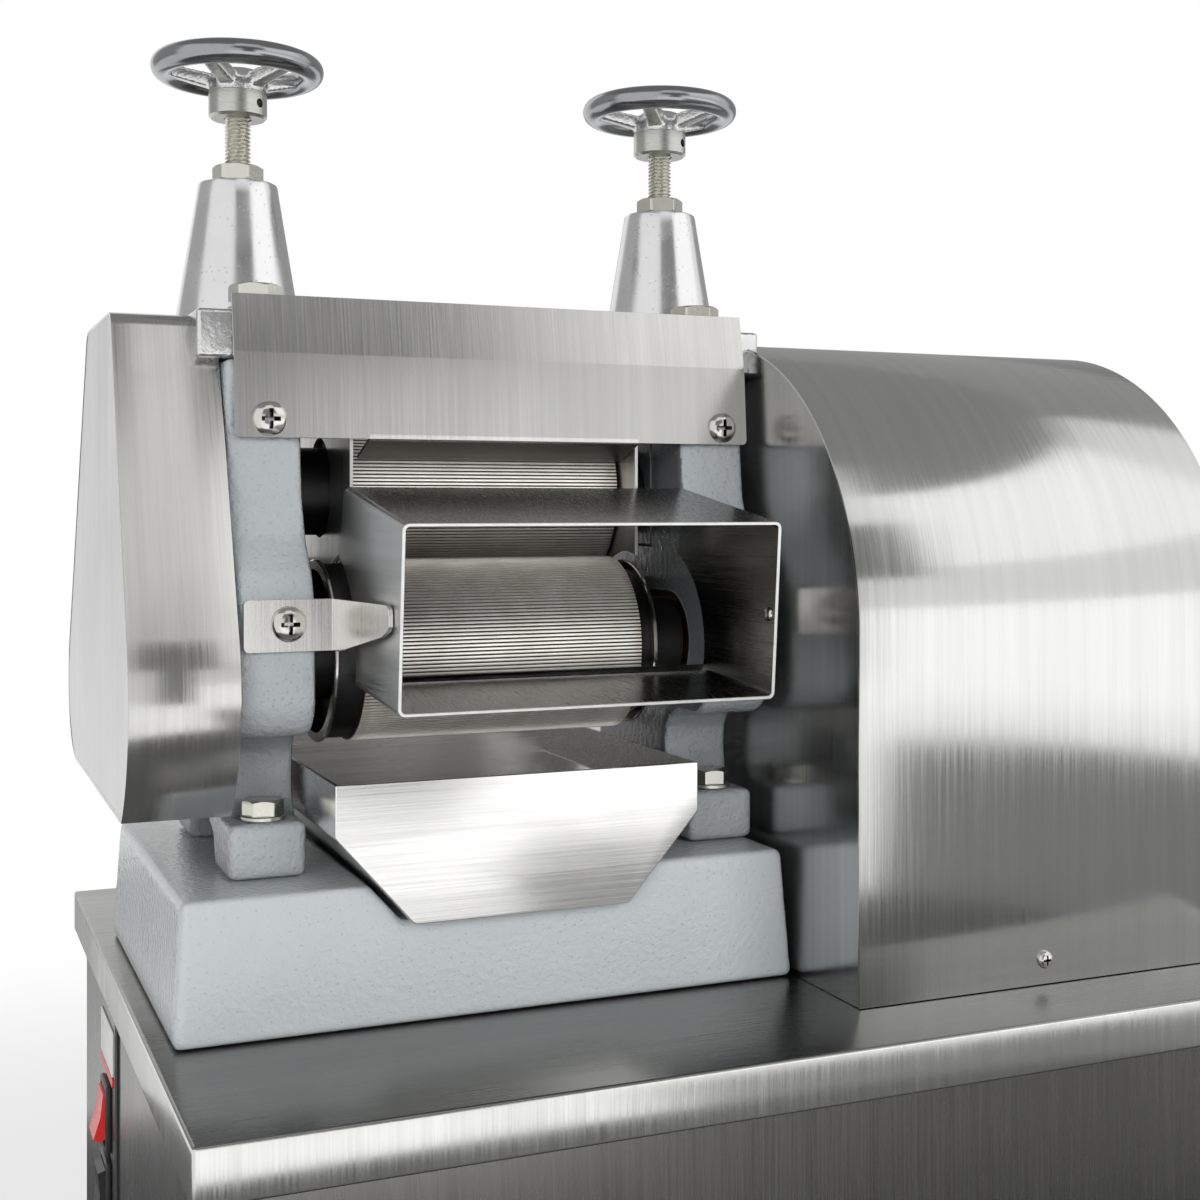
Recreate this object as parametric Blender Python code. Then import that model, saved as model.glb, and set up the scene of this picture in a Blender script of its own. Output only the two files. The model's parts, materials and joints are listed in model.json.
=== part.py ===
"""Three-roller cane press on a stainless cabinet, one object for each separate piece.

Metres, +Z up, +X to the right along the rollers, the feed side towards -Y.
The origin is the middle of the footprint, on the surface that the feet stand on.
"""
import math

import bmesh
import bpy
from mathutils import Matrix, Vector

# Clearances
GAP = 0.0003                # between faces that touch
SHAFT_FIT = 0.0003          # radial, shafts in bores
SLIDE_FIT = 0.0004          # a side, bearing blocks in their slots
SCRAPER_GAP = 0.0015        # scraper edges and guide to the rollers
PAST = 0.01                 # how far a cutter runs past what it cuts

# Cabinet
CABINET_W = 0.440
CABINET_D = 0.340
CABINET_H = 0.275
SHEET = 0.0012
TOP_LIP = 0.018
PANEL_INSET = 0.005
FOOT_D = 0.030
FOOT_H = 0.015
FOOT_INSET = 0.040
GLAND_D = 0.022
GLAND_REACH = 0.014
GLAND_BORE_R = 0.004
GLAND_FROM_LEFT = 0.060
GLAND_H = 0.050             # above the cabinet's floor
VENT_ROWS = 6
VENT_PITCH = 0.014
VENT_W = 0.100
VENT_H = 0.004
VENT_DROP = 0.060           # highest slot below the panel's top
BELT_SLOT_MARGIN = 0.008

# Where the press stands, from the cabinet's front left corner
PRESS_FROM_LEFT = 0.133
PRESS_FROM_FRONT = 0.168

# Base casting
BASE_H = 0.0485
BASE_L = 0.170
BASE_DRAFT = 0.003
BASE_WALL = 0.009
BASE_LEFT_REACH = 0.023     # beyond the left frame
BASE_FORWARD = 0.085        # front face ahead of the press centre
BASE_COVER_GAP = 0.0008     # to the drive cover's side plate

# Side frames
FRAME_SPAN = 0.150          # between the inner faces
FRAME_T = 0.028
FRAME_HEAD = 0.0467         # above the top roller's axis
FRAME_TOP_HALF = 0.049
FRAME_BULGE_MARGIN = 0.0015  # ahead of the rollers
FRAME_NECK_HALF = 0.035
FRAME_FOOT_HALF = 0.058
FRAME_FOOT_H = 0.0195
FRAME_BOLT_HALF = 0.0480
FRAME_ARCH_HALF = 0.028
FRAME_ARCH_H = 0.014
BOLT_D = 0.008
BOLT_HEAD_AF = 0.013
BOLT_HEAD_H = 0.0055
BOLT_HEAD_TURN = 20         # degrees
WASHER_D = 0.016
WASHER_T = 0.0016
BOLT_DEPTH = 0.007          # into the base

# Rollers and shafts
ROLLER_R = 0.0335
ROLLER_GAP = 0.003
LOWER_GAP = 0.009           # between the two lower rollers
LOWER_ROLLER_H = 0.0785     # axis above the base
FLUTE_END = 0.020           # from a frame to the flutes
FLUTE_COUNT = 45
FLUTE_DEPTH = 0.0012
NECK_R = 0.027
LEFT_NECK_L = 0.012
RIGHT_NECK_L = 0.003
RIM_T = 0.0015
COLLAR_R = 0.017
SHAFT_R = 0.0125
TOP_LIFT = 0.0025           # how far cane can push the top roller up

# Bearings
BEARING_R = 0.019           # outside of the lower bearing inserts
BEARING_RECESS = 0.0005     # behind the frames' faces
BLOCK_W = 0.044
BLOCK_H = 0.044

# Screw towers, spindles and handwheels
TOWER_FLANGE_T = 0.0175
TOWER_CONE_H = 0.053
TOWER_FOOT_R = 0.023
TOWER_TOP_R = 0.015
SPINDLE_R = 0.005
SPINDLE_FIT = 0.0006
NUT_AF = 0.017
NUT_H = 0.0065
NUT_TURN = 12               # degrees
PAD_R = 0.010
PAD_T = 0.006
PAD_REST_GAP = 0.0035       # above the bearing block
WHEEL_HUB_LIFT = 0.0180     # above the lock nut
WHEEL_R = 0.0285            # to the middle of the rim
WHEEL_RIM_R = 0.0046
WHEEL_RISE = 0.0191         # rim's middle above the hub's foot
WHEEL_SPOKES = 5
HUB_R = 0.011
HUB_H = 0.0185

# Gears
ROLLER_TEETH = 35
ROLLER_GEAR_W = 0.016
ROLLER_GEAR_OFF = 0.006     # from the frame
GEAR_HUB_R = 0.020
GEAR_BACKLASH = 0.0004      # bull gear and pinion, at the pitch circle
BULL_TEETH = 60
PINION_TEETH = 15
BULL_MODULE = 0.0025
BULL_W = 0.016
BULL_OFF = 0.014            # from the right frame
PINION_BELOW = math.radians(50)
PINION_SHAFT_R = 0.010

# Belt drive
DRIVEN_R = 0.048
DRIVER_R = 0.025
PULLEY_W = 0.018
PULLEY_OFF = 0.006          # from the bracket
GROOVE_DEPTH = 0.008
BELT_W = 0.010
BELT_T = 0.007
BELT_FIT = 0.0005
BRACKET_T = 0.020
BRACKET_WALL = 0.009
BRACKET_HALF = 0.036
BRACKET_OFF = 0.006         # from the bull gear's side
MOTOR_AXIS_H = 0.080        # above the cabinet's floor
MOTOR_R = 0.062
MOTOR_L = 0.130
HEAD_R = 0.048
HEAD_L = 0.050
MOTOR_SHAFT_R = 0.009

# Guard, cheeks, scrapers and chutes
GUARD_LEFT = 0.0998         # left of the press centre
GUARD_RIGHT = 0.1030
GUARD_LOW = 0.0187          # above the top roller's axis
GUARD_FOLD = 0.0492
GUARD_TOP = 0.0702
GUARD_LEAN = 0.0042         # of the part above the fold
GUARD_FLAP_HALF = 0.0535
GUARD_FLAP_SHIFT = 0.0022
CHEEK_HALF = 0.048
CHEEK_LOW = 0.0057          # above the top roller's lowest line
CHEEK_TOP = 0.0432          # above the top roller's axis
CHEEK_ROLLER_GAP = 0.0012   # to the flutes' ends
CHUTE_SIDE_ROOM = 0.007     # left wall to the flutes' end
CHUTE_MOUTH = 0.0898        # lower lip ahead of the front roller's axis
CHUTE_MOUTH_DROP = 0.0147   # lower lip below that axis
CHUTE_H = 0.0625            # along the mouth's edge
CHUTE_LEAN = math.radians(5)
CHUTE_FLOOR_SLOPE = math.radians(4.3)
CHUTE_ROOF_SLOPE = math.radians(9.3)
CHUTE_ROOF_L = 0.0755
CHUTE_FLOOR_L = 0.0887
CHUTE_FRAME_GAP = 0.0006
BRACKET_SHEET = 0.0015
BRACKET_H = 0.018
BRACKET_RISE = 0.012        # middle above the lower rollers' axes
STRIP_L = 0.052

# Juice tray, across the press
TRAY_TOP = 0.0370           # above the base
TRAY_SHOULDER = 0.0190
TRAY_SINK = 0.0125          # floor below the base's top
TRAY_SIDE_ROOM = 0.007      # to the frames, before the shift
TRAY_TAPER = 0.0278
TRAY_SHIFT = -0.005
TRAY_FORWARD = 0.090
TRAY_END_FIT = 0.003
NOTCH_FIT = 0.0022

# Gear cover, round the roller gears
GEAR_COVER_ROOM = 0.015     # to the left of the gears
COVER_TOP_DROP = 0.0013     # below the tower's flange top
GEAR_COVER_TOP_R = 0.008
GEAR_COVER_REAR_R = 0.033
GEAR_COVER_TOP_IN = 0.044   # upper front corner's centre behind the gears' foremost point
GEAR_COVER_NOSE = 0.0155    # lower front corner's centre ahead of that axis
GEAR_COVER_NOSE_TRIM = 0.003
GEAR_COVER_REAR_OUT = 0.052  # lower rear corner's centre behind the rear gear's axis
GEAR_COVER_DROP = 0.0207    # lower corners' centres below the gears' axes

# Drive cover
DRIVE_COVER_W = 0.173
DRIVE_COVER_GAP = 0.004     # from the right frame
DRIVE_COVER_DROP = 0.0033   # below the tower's flange top
DRIVE_COVER_HALF = 0.131
DRIVE_COVER_R = 0.113

# Switches on the left panel
SWITCH_BACK = 0.246         # from the cabinet's front
POWER_SWITCH_DROP = 0.073   # below the deck
SWITCH_PITCH = 0.031
BEZEL_H = 0.028
BEZEL_W = 0.021
BEZEL_T = 0.002
BEZEL_WALL = 0.0022
BEZEL_LAP = 0.0012          # over the panel's hole
SWITCH_DEPTH = 0.020
ROCKER_REACH = 0.0045
ROCKER_TILT = math.radians(12)

# Worked out from the values above
COVER_OVERHANG = max(
    0, FRAME_SPAN / 2 + FRAME_T + ROLLER_GEAR_OFF + ROLLER_GEAR_W + GEAR_COVER_ROOM - PRESS_FROM_LEFT
)
LEFT = -(CABINET_W + COVER_OVERHANG) / 2 + COVER_OVERHANG
RIGHT = LEFT + CABINET_W
FRONT = -(CABINET_D + GLAND_REACH) / 2
REAR = FRONT + CABINET_D
DECK = FOOT_H + CABINET_H
PRESS_X = LEFT + PRESS_FROM_LEFT
PRESS_Y = FRONT + PRESS_FROM_FRONT
BASE_TOP = DECK + BASE_H
PITCH = 2 * ROLLER_R + ROLLER_GAP
LOWER_HALF_SPREAD = ROLLER_R + LOWER_GAP / 2
LOWER_Z = BASE_TOP + LOWER_ROLLER_H
TOP_Z = LOWER_Z + math.sqrt(PITCH ** 2 - LOWER_HALF_SPREAD ** 2)
FRONT_Y = PRESS_Y - LOWER_HALF_SPREAD
BACK_Y = PRESS_Y + LOWER_HALF_SPREAD
INNER_L = PRESS_X - FRAME_SPAN / 2
INNER_R = PRESS_X + FRAME_SPAN / 2
OUTER_L = INNER_L - FRAME_T
OUTER_R = INNER_R + FRAME_T
FRAME_BULGE_HALF = LOWER_HALF_SPREAD + ROLLER_R + FRAME_BULGE_MARGIN
TOWER_FLANGE_HALF = FRAME_TOP_HALF - GUARD_LEAN + 0.001
NOTCH_END = PRESS_Y - BASE_FORWARD + BASE_L - 2 * BASE_WALL
FRAME_FOOT = BASE_TOP + GAP
FRAME_TOP = TOP_Z + FRAME_HEAD
TOWER_FLANGE = FRAME_TOP + GAP
TOWER_FOOT = TOWER_FLANGE + TOWER_FLANGE_T
TOWER_TOP = TOWER_FOOT + TOWER_CONE_H
FLUTE_L0 = INNER_L + FLUTE_END
FLUTE_L1 = INNER_R - FLUTE_END
TRAY_HALF_TOP = FRAME_SPAN / 2 - TRAY_SIDE_ROOM
TRAY_HALF_FLOOR = TRAY_HALF_TOP - TRAY_TAPER
TRAY_FLOOR = BASE_TOP - TRAY_SINK
GEAR_L1 = OUTER_L - ROLLER_GEAR_OFF
GEAR_L0 = GEAR_L1 - ROLLER_GEAR_W
BULL_L0 = OUTER_R + BULL_OFF
BULL_L1 = BULL_L0 + BULL_W
PINION_REACH = BULL_MODULE * (BULL_TEETH + PINION_TEETH) / 2
PINION_Y = FRONT_Y + PINION_REACH * math.cos(PINION_BELOW)
PINION_Z = LOWER_Z - PINION_REACH * math.sin(PINION_BELOW)
BRACKET_L0 = BULL_L1 + BRACKET_OFF
BRACKET_L1 = BRACKET_L0 + BRACKET_T
PULLEY_L0 = BRACKET_L1 + PULLEY_OFF
PULLEY_L1 = PULLEY_L0 + PULLEY_W
PULLEY_MID = (PULLEY_L0 + PULLEY_L1) / 2
MOTOR_Y = PRESS_Y
MOTOR_Z = FOOT_H + MOTOR_AXIS_H


# ---------------------------------------------------------------- helpers

def clear_scene():
    for thing in list(bpy.data.objects):
        bpy.data.objects.remove(thing, do_unlink=True)


def finish(name, colour, roughness, metallic):
    """A Principled material."""
    made = bpy.data.materials.new(name)
    made.use_nodes = True
    shader = made.node_tree.nodes["Principled BSDF"]
    shader.inputs["Base Color"].default_value = (*colour, 1)
    shader.inputs["Roughness"].default_value = roughness
    shader.inputs["Metallic"].default_value = metallic
    return made


def pivot(name, place, parent=None):
    """An empty on a joint's axis, which the moving pieces hang on."""
    empty = bpy.data.objects.new(name, None)
    empty.empty_display_size = 0.02
    bpy.context.collection.objects.link(empty)
    empty["place"] = tuple(place)
    empty.location = Vector(place)
    if parent:
        empty.parent = parent
        empty.location -= Vector(parent["place"])
    return empty


def piece(name, shape, material, on=None, smooth=False):
    """One named object from a bmesh that was drawn in world coordinates."""
    origin = Vector(on["place"]) if on else Vector((0, 0, 0))
    bmesh.ops.recalc_face_normals(shape, faces=shape.faces)
    mesh = bpy.data.meshes.new(name)
    shape.to_mesh(mesh)
    shape.free()
    mesh.transform(Matrix.Translation(-origin))
    if smooth:
        mesh.shade_smooth()
        mesh.set_sharp_from_angle(angle=math.radians(35))
    if material:
        mesh.materials.append(material)
    thing = bpy.data.objects.new(name, mesh)
    bpy.context.collection.objects.link(thing)
    thing.parent = on
    return thing


def helper(name, shape, on=None):
    """A hidden solid for a Boolean."""
    thing = piece(name, shape, None, on)
    thing.hide_render = True
    thing.display_type = "WIRE"
    return thing


def boolean(target, operation, shapes):
    for shape in shapes:
        title = f"{operation.lower()}_{len(target.modifiers)}"
        tool = helper(f"{target.name}_{title}", shape, target.parent)
        change = target.modifiers.new(title, "BOOLEAN")
        change.operation = operation
        change.solver = "EXACT"
        change.object = tool
    return target


def cut(target, *shapes):
    return boolean(target, "DIFFERENCE", shapes)


def join(target, *shapes):
    return boolean(target, "UNION", shapes)


def round_edges(target, width, segments=2, angle=40):
    bevel = target.modifiers.new("rounded_edges", "BEVEL")
    bevel.width = width
    bevel.segments = segments
    bevel.limit_method = "ANGLE"
    bevel.angle_limit = math.radians(angle)
    return target


def axis_frame(axis):
    """The matrix that takes (along, across, up) to world axes for a prism or turning."""
    if axis == "X":
        return Matrix(((1, 0, 0), (0, 1, 0), (0, 0, 1)))
    if axis == "Y":
        return Matrix(((0, 1, 0), (1, 0, 0), (0, 0, 1)))
    return Matrix(((0, 1, 0), (0, 0, 1), (1, 0, 0)))


def prism(axis, outline, low, high):
    """An outline in the plane across an axis (YZ, XZ or XY), extruded between two places on it."""
    frame = axis_frame(axis)
    shape = bmesh.new()
    ends = []
    for along in (low, high):
        ends.append([shape.verts.new(frame @ Vector((along, a, b))) for a, b in outline])
    shape.faces.new(ends[0])
    shape.faces.new(ends[1])
    count = len(outline)
    for i in range(count):
        j = (i + 1) % count
        shape.faces.new((ends[0][i], ends[0][j], ends[1][j], ends[1][i]))
    return shape


def box(x0, x1, y0, y1, z0, z1):
    return prism("X", ((y0, z0), (y1, z0), (y1, z1), (y0, z1)), x0, x1)


def turned(axis, centre, profile, segments=24):
    """A solid of revolution about an axis: profile points are (place along the axis, radius)."""
    frame = axis_frame(axis)
    shape = bmesh.new()
    rings = []
    for along, radius in profile:
        ring = []
        for i in range(segments):
            turn = 2 * math.pi * (i + 0.5) / segments
            a = centre[0] + radius * math.cos(turn)
            b = centre[1] + radius * math.sin(turn)
            ring.append(shape.verts.new(frame @ Vector((along, a, b))))
        rings.append(ring)
    shape.faces.new(rings[0])
    shape.faces.new(rings[-1])
    for first, second in zip(rings, rings[1:]):
        for i in range(segments):
            j = (i + 1) % segments
            shape.faces.new((first[i], first[j], second[j], second[i]))
    return shape


def rod(axis, centre, low, high, radius, segments=24):
    return turned(axis, centre, ((low, radius), (high, radius)), segments)


def arc(centre, radius, start, end, steps):
    """Points along an arc, with the angles in degrees."""
    points = []
    for i in range(steps + 1):
        turn = math.radians(start + (end - start) * i / steps)
        points.append((centre[0] + radius * math.cos(turn), centre[1] + radius * math.sin(turn)))
    return points


def hull(points):
    """The convex outline round a cloud of points, counter-clockwise."""
    points = sorted(set(points))

    def half(cloud):
        chain = []
        for p in cloud:
            while len(chain) > 1 and (
                (chain[-1][0] - chain[-2][0]) * (p[1] - chain[-2][1])
                - (chain[-1][1] - chain[-2][1]) * (p[0] - chain[-2][0])
            ) <= 1e-10:
                chain.pop()
            chain.append(p)
        return chain[:-1]

    return half(points) + half(points[::-1])


def round_hull(circles, steps=32):
    """The tight outline round circles given as (a, b, radius)."""
    cloud = []
    for a, b, radius in circles:
        cloud += arc((a, b), radius, 0, 360, steps)[:-1]
    return hull(cloud)


def inset(outline, depth):
    """A convex, counter-clockwise outline moved inwards by a depth."""
    lines = []
    for (a0, b0), (a1, b1) in zip(outline, outline[1:] + outline[:1]):
        length = math.hypot(a1 - a0, b1 - b0)
        normal = (-(b1 - b0) / length, (a1 - a0) / length)
        lines.append((normal, normal[0] * a0 + normal[1] * b0 + depth))
    points = []
    for (n0, d0), (n1, d1) in zip(lines[-1:] + lines[:-1], lines):
        scale = n0[0] * n1[1] - n0[1] * n1[0]
        points.append(((d0 * n1[1] - d1 * n0[1]) / scale, (n0[0] * d1 - n1[0] * d0) / scale))
    return points


def mirrored(half_outline, middle):
    """An outline from its front half, given as (distance ahead of the middle, height), top to bottom."""
    ahead = [(middle - half, height) for half, height in half_outline]
    behind = [(middle + half, height) for half, height in reversed(half_outline)]
    return ahead + behind


def hexagon(centre, across_flats, turn=0.0):
    radius = across_flats / math.sqrt(3)
    return arc(centre, radius, turn, turn + 300, 5)


def gear_outline(centre, teeth, module, phase, slack):
    """A spur gear's outline with straight-sided teeth; slack thins each tooth at the pitch circle."""
    pitch_r = module * teeth / 2
    step = 2 * math.pi / teeth
    half = 0.25 - slack / (math.pi * module) / 2
    levels = (
        (pitch_r - 1.2 * module, -half - 0.07),
        (pitch_r + 0.9 * module, -half + 0.09),
        (pitch_r + 0.9 * module, half - 0.09),
        (pitch_r - 1.2 * module, half + 0.07),
    )
    points = []
    for tooth in range(teeth):
        for radius, share in levels:
            turn = phase + step * (tooth + share)
            points.append((centre[0] + radius * math.cos(turn), centre[1] + radius * math.sin(turn)))
    return points


def mating_phase(phase, teeth, other_teeth, towards):
    """The phase that puts the other gear's gap on this gear's tooth, along the line of centres."""
    offset = (phase - towards) * teeth / other_teeth
    return towards + math.pi - offset + math.pi / other_teeth


# ---------------------------------------------------------------- materials

def make_materials():
    return {
        "stainless": finish("brushed_stainless", (0.55, 0.54, 0.52), 0.32, 1.0),
        "stainless_dark": finish("dark_stainless", (0.30, 0.30, 0.30), 0.35, 1.0),
        "paint": finish("grey_cast_paint", (0.35, 0.39, 0.41), 0.38, 0.0),
        "chrome": finish("polished_chrome", (0.62, 0.62, 0.63), 0.12, 1.0),
        "steel": finish("machined_steel", (0.48, 0.47, 0.45), 0.35, 1.0),
        "zinc": finish("zinc_plating", (0.62, 0.62, 0.55), 0.28, 1.0),
        "bronze": finish("bearing_bronze", (0.52, 0.36, 0.16), 0.38, 1.0),
        "black_iron": finish("black_cast_iron", (0.05, 0.05, 0.05), 0.5, 0.6),
        "rubber": finish("black_rubber", (0.02, 0.02, 0.02), 0.75, 0.0),
        "belt": finish("belt_rubber", (0.03, 0.03, 0.03), 0.65, 0.0),
        "black_plastic": finish("black_plastic", (0.02, 0.02, 0.02), 0.35, 0.0),
        "red_plastic": finish("red_plastic", (0.55, 0.02, 0.02), 0.25, 0.0),
    }


# ---------------------------------------------------------------- cabinet

def make_cabinet(looks):
    top = piece("cabinet_top", box(LEFT, RIGHT, FRONT, REAR, DECK - TOP_LIP, DECK), looks["stainless"])
    round_edges(top, 0.0015)
    cut(
        top,
        box(LEFT + SHEET, RIGHT - SHEET, FRONT + SHEET, REAR - SHEET, DECK - TOP_LIP - PAST, DECK - SHEET),
        belt_slot(),
    )
    make_shell(looks)
    for name, x in (("left", LEFT + FOOT_INSET), ("right", RIGHT - FOOT_INSET)):
        for end, y in (("front", FRONT + FOOT_INSET), ("rear", REAR - FOOT_INSET)):
            profile = ((0, FOOT_D / 2 - 0.002), (0.003, FOOT_D / 2), (FOOT_H - GAP, FOOT_D / 2 - 0.002))
            piece(f"foot_{end}_{name}", turned("Z", (x, y), profile, 24), looks["rubber"], smooth=True)


def belt_slot():
    """The opening in the cabinet top that the belt runs through."""
    fall = (PINION_Z - DECK) / (PINION_Z - MOTOR_Z)
    middle = PINION_Y + (MOTOR_Y - PINION_Y) * fall
    half = DRIVEN_R + (DRIVER_R - DRIVEN_R) * fall + BELT_SLOT_MARGIN
    wide = BELT_W / 2 + BELT_SLOT_MARGIN
    x0, x1 = PULLEY_MID - wide, PULLEY_MID + wide
    return box(x0, x1, middle - half, middle + half, DECK - PAST, DECK + PAST)


def make_shell(looks):
    x0, x1 = LEFT + PANEL_INSET, RIGHT - PANEL_INSET
    y0, y1 = FRONT + PANEL_INSET, REAR - PANEL_INSET
    z0, z1 = FOOT_H, DECK - SHEET - GAP
    shell = piece("cabinet_shell", box(x0, x1, y0, y1, z0, z1), looks["stainless_dark"])
    round_edges(shell, 0.0015)
    inside = box(x0 + SHEET, x1 - SHEET, y0 + SHEET, y1 + PAST, z0 + SHEET, z1 + PAST)
    cut(shell, inside, *[switch_hole(drop) for drop in switch_drops()])
    panel_y0 = y1 - SHEET
    panel = piece(
        "rear_panel",
        box(x0 + SHEET + GAP, x1 - SHEET - GAP, panel_y0, y1, z0 + SHEET + GAP, z1),
        looks["stainless_dark"],
    )
    slots = []
    vent_x = PRESS_X + 0.010
    for row in range(VENT_ROWS):
        z = z1 - VENT_DROP - VENT_PITCH * row
        slots.append(box(vent_x, vent_x + VENT_W, panel_y0 - PAST, y1 + PAST, z, z + VENT_H))
    gland_x, gland_z = LEFT + GLAND_FROM_LEFT, z0 + GLAND_H
    thread_r = GLAND_D / 2 - 0.003
    slots.append(rod("Y", (gland_x, gland_z), panel_y0 - PAST, y1 + PAST, thread_r + GAP))
    cut(panel, *slots)
    tip = REAR + GLAND_REACH
    profile = (
        (panel_y0 - 0.006, thread_r),
        (y1 + GAP, thread_r),
        (y1 + GAP, GLAND_D / 2),
        (tip - 0.007, GLAND_D / 2),
        (tip, GLAND_D / 2 - 0.004),
    )
    shape = turned("Y", (gland_x, gland_z), profile)
    gland = piece("cord_gland", shape, looks["black_plastic"], smooth=True)
    cut(gland, rod("Y", (gland_x, gland_z), panel_y0 - 2 * PAST, tip + PAST, GLAND_BORE_R, 16))


# ---------------------------------------------------------------- switches

def switch_drops():
    return (POWER_SWITCH_DROP, POWER_SWITCH_DROP + SWITCH_PITCH)


def switch_hole(drop):
    half_y, half_z = BEZEL_W / 2 - BEZEL_LAP, BEZEL_H / 2 - BEZEL_LAP
    y, z = FRONT + SWITCH_BACK, DECK - drop
    x = LEFT + PANEL_INSET
    return box(x - PAST, x + PAST, y - half_y, y + half_y, z - half_z, z + half_z)


def make_switch(looks, name, drop, colour, tilt):
    """A snap-in housing with a bezel, and the rocker that tilts in it about an axis along Y."""
    face = LEFT + PANEL_INSET
    y, z = FRONT + SWITCH_BACK, DECK - drop
    half_y, half_z = BEZEL_W / 2, BEZEL_H / 2
    body_y, body_z = half_y - BEZEL_LAP - GAP, half_z - BEZEL_LAP - GAP
    housing = piece(
        f"{name}_switch_body",
        box(face - GAP - BEZEL_T, face - GAP, y - half_y, y + half_y, z - half_z, z + half_z),
        looks["black_plastic"],
    )
    back = face + SWITCH_DEPTH
    join(housing, box(face - GAP - 0.001, back, y - body_y, y + body_y, z - body_z, z + body_z))
    open_y, open_z = half_y - BEZEL_WALL, half_z - BEZEL_WALL
    pocket = box(face - PAST, face + 0.010, y - open_y, y + open_y, z - open_z, z + open_z)
    cut(housing, pocket)
    axle = pivot(f"{name}_rocker_axle", (face + 0.001, y, z))
    top_x, edge_x = face - BEZEL_T - ROCKER_REACH, face - BEZEL_T - 0.0012
    reach = open_z - 0.0016
    outline = [
        (top_x + 0.0022, z),
        (edge_x - 0.002, z + reach * 0.9),
        (edge_x + 0.001, z + reach),
        (face + 0.003, z + reach * 0.45),
        (face + 0.003, z - reach * 0.45),
        (edge_x + 0.001, z - reach),
        (edge_x - 0.002, z - reach * 0.9),
    ]
    tilted = []
    for a, b in outline:
        da, db = a - (face + 0.001), b - z
        tilted.append((
            face + 0.001 + da * math.cos(tilt) - db * math.sin(tilt),
            z + da * math.sin(tilt) + db * math.cos(tilt),
        ))
    rocker = prism("Y", tilted, y - open_y + 0.0004, y + open_y - 0.0004)
    piece(f"{name}_rocker", rocker, looks[colour], on=axle)


# ---------------------------------------------------------------- base and frames

def tray_outline(grow=0.0, drop=0.0):
    """The tray's six-cornered end in X and Z, grown sideways and dropped for its notch."""
    x = PRESS_X + TRAY_SHIFT
    return [
        (x - TRAY_HALF_FLOOR - grow, TRAY_FLOOR - drop),
        (x + TRAY_HALF_FLOOR + grow, TRAY_FLOOR - drop),
        (x + TRAY_HALF_TOP + grow, BASE_TOP + TRAY_SHOULDER - drop),
        (x + TRAY_HALF_TOP + grow, BASE_TOP + TRAY_TOP),
        (x - TRAY_HALF_TOP - grow, BASE_TOP + TRAY_TOP),
        (x - TRAY_HALF_TOP - grow, BASE_TOP + TRAY_SHOULDER - drop),
    ]


def bolt_places():
    for side, x in (("left", (OUTER_L + INNER_L) / 2), ("right", (INNER_R + OUTER_R) / 2)):
        for end, y in (("front", PRESS_Y - FRAME_BOLT_HALF), ("rear", PRESS_Y + FRAME_BOLT_HALF)):
            yield f"frame_bolt_{end}_{side}", x, y


def make_base(looks):
    x0 = OUTER_L - BASE_LEFT_REACH
    x1 = OUTER_R + DRIVE_COVER_GAP - BASE_COVER_GAP
    y0 = PRESS_Y - BASE_FORWARD
    y1 = y0 + BASE_L
    z0 = DECK + GAP
    shape = bmesh.new()
    rings = []
    for z, draft in ((z0, 0), (BASE_TOP, BASE_DRAFT)):
        left, right, front, rear = x0 + draft, x1 - draft, y0 + draft, y1 - draft
        corners = ((left, front), (right, front), (right, rear), (left, rear))
        rings.append([shape.verts.new((x, y, z)) for x, y in corners])
    shape.faces.new(rings[0])
    shape.faces.new(rings[1])
    for i in range(4):
        j = (i + 1) % 4
        shape.faces.new((rings[0][i], rings[0][j], rings[1][j], rings[1][i]))
    base = piece("base_casting", shape, looks["paint"])
    round_edges(base, 0.0025)
    notch = prism("Y", tray_outline(NOTCH_FIT, GAP), y0 - PAST, NOTCH_END)
    hollow = box(
        x0 + BASE_WALL, x1 - BASE_WALL, y0 + BASE_WALL, y1 - BASE_WALL, DECK - PAST, TRAY_FLOOR - BASE_WALL
    )
    cuts = [notch, hollow]
    for _, x, y in bolt_places():
        cuts.append(rod("Z", (x, y), BASE_TOP - 0.02, BASE_TOP + PAST, BOLT_D / 2 + GAP, 16))
    cut(base, *cuts)


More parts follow.
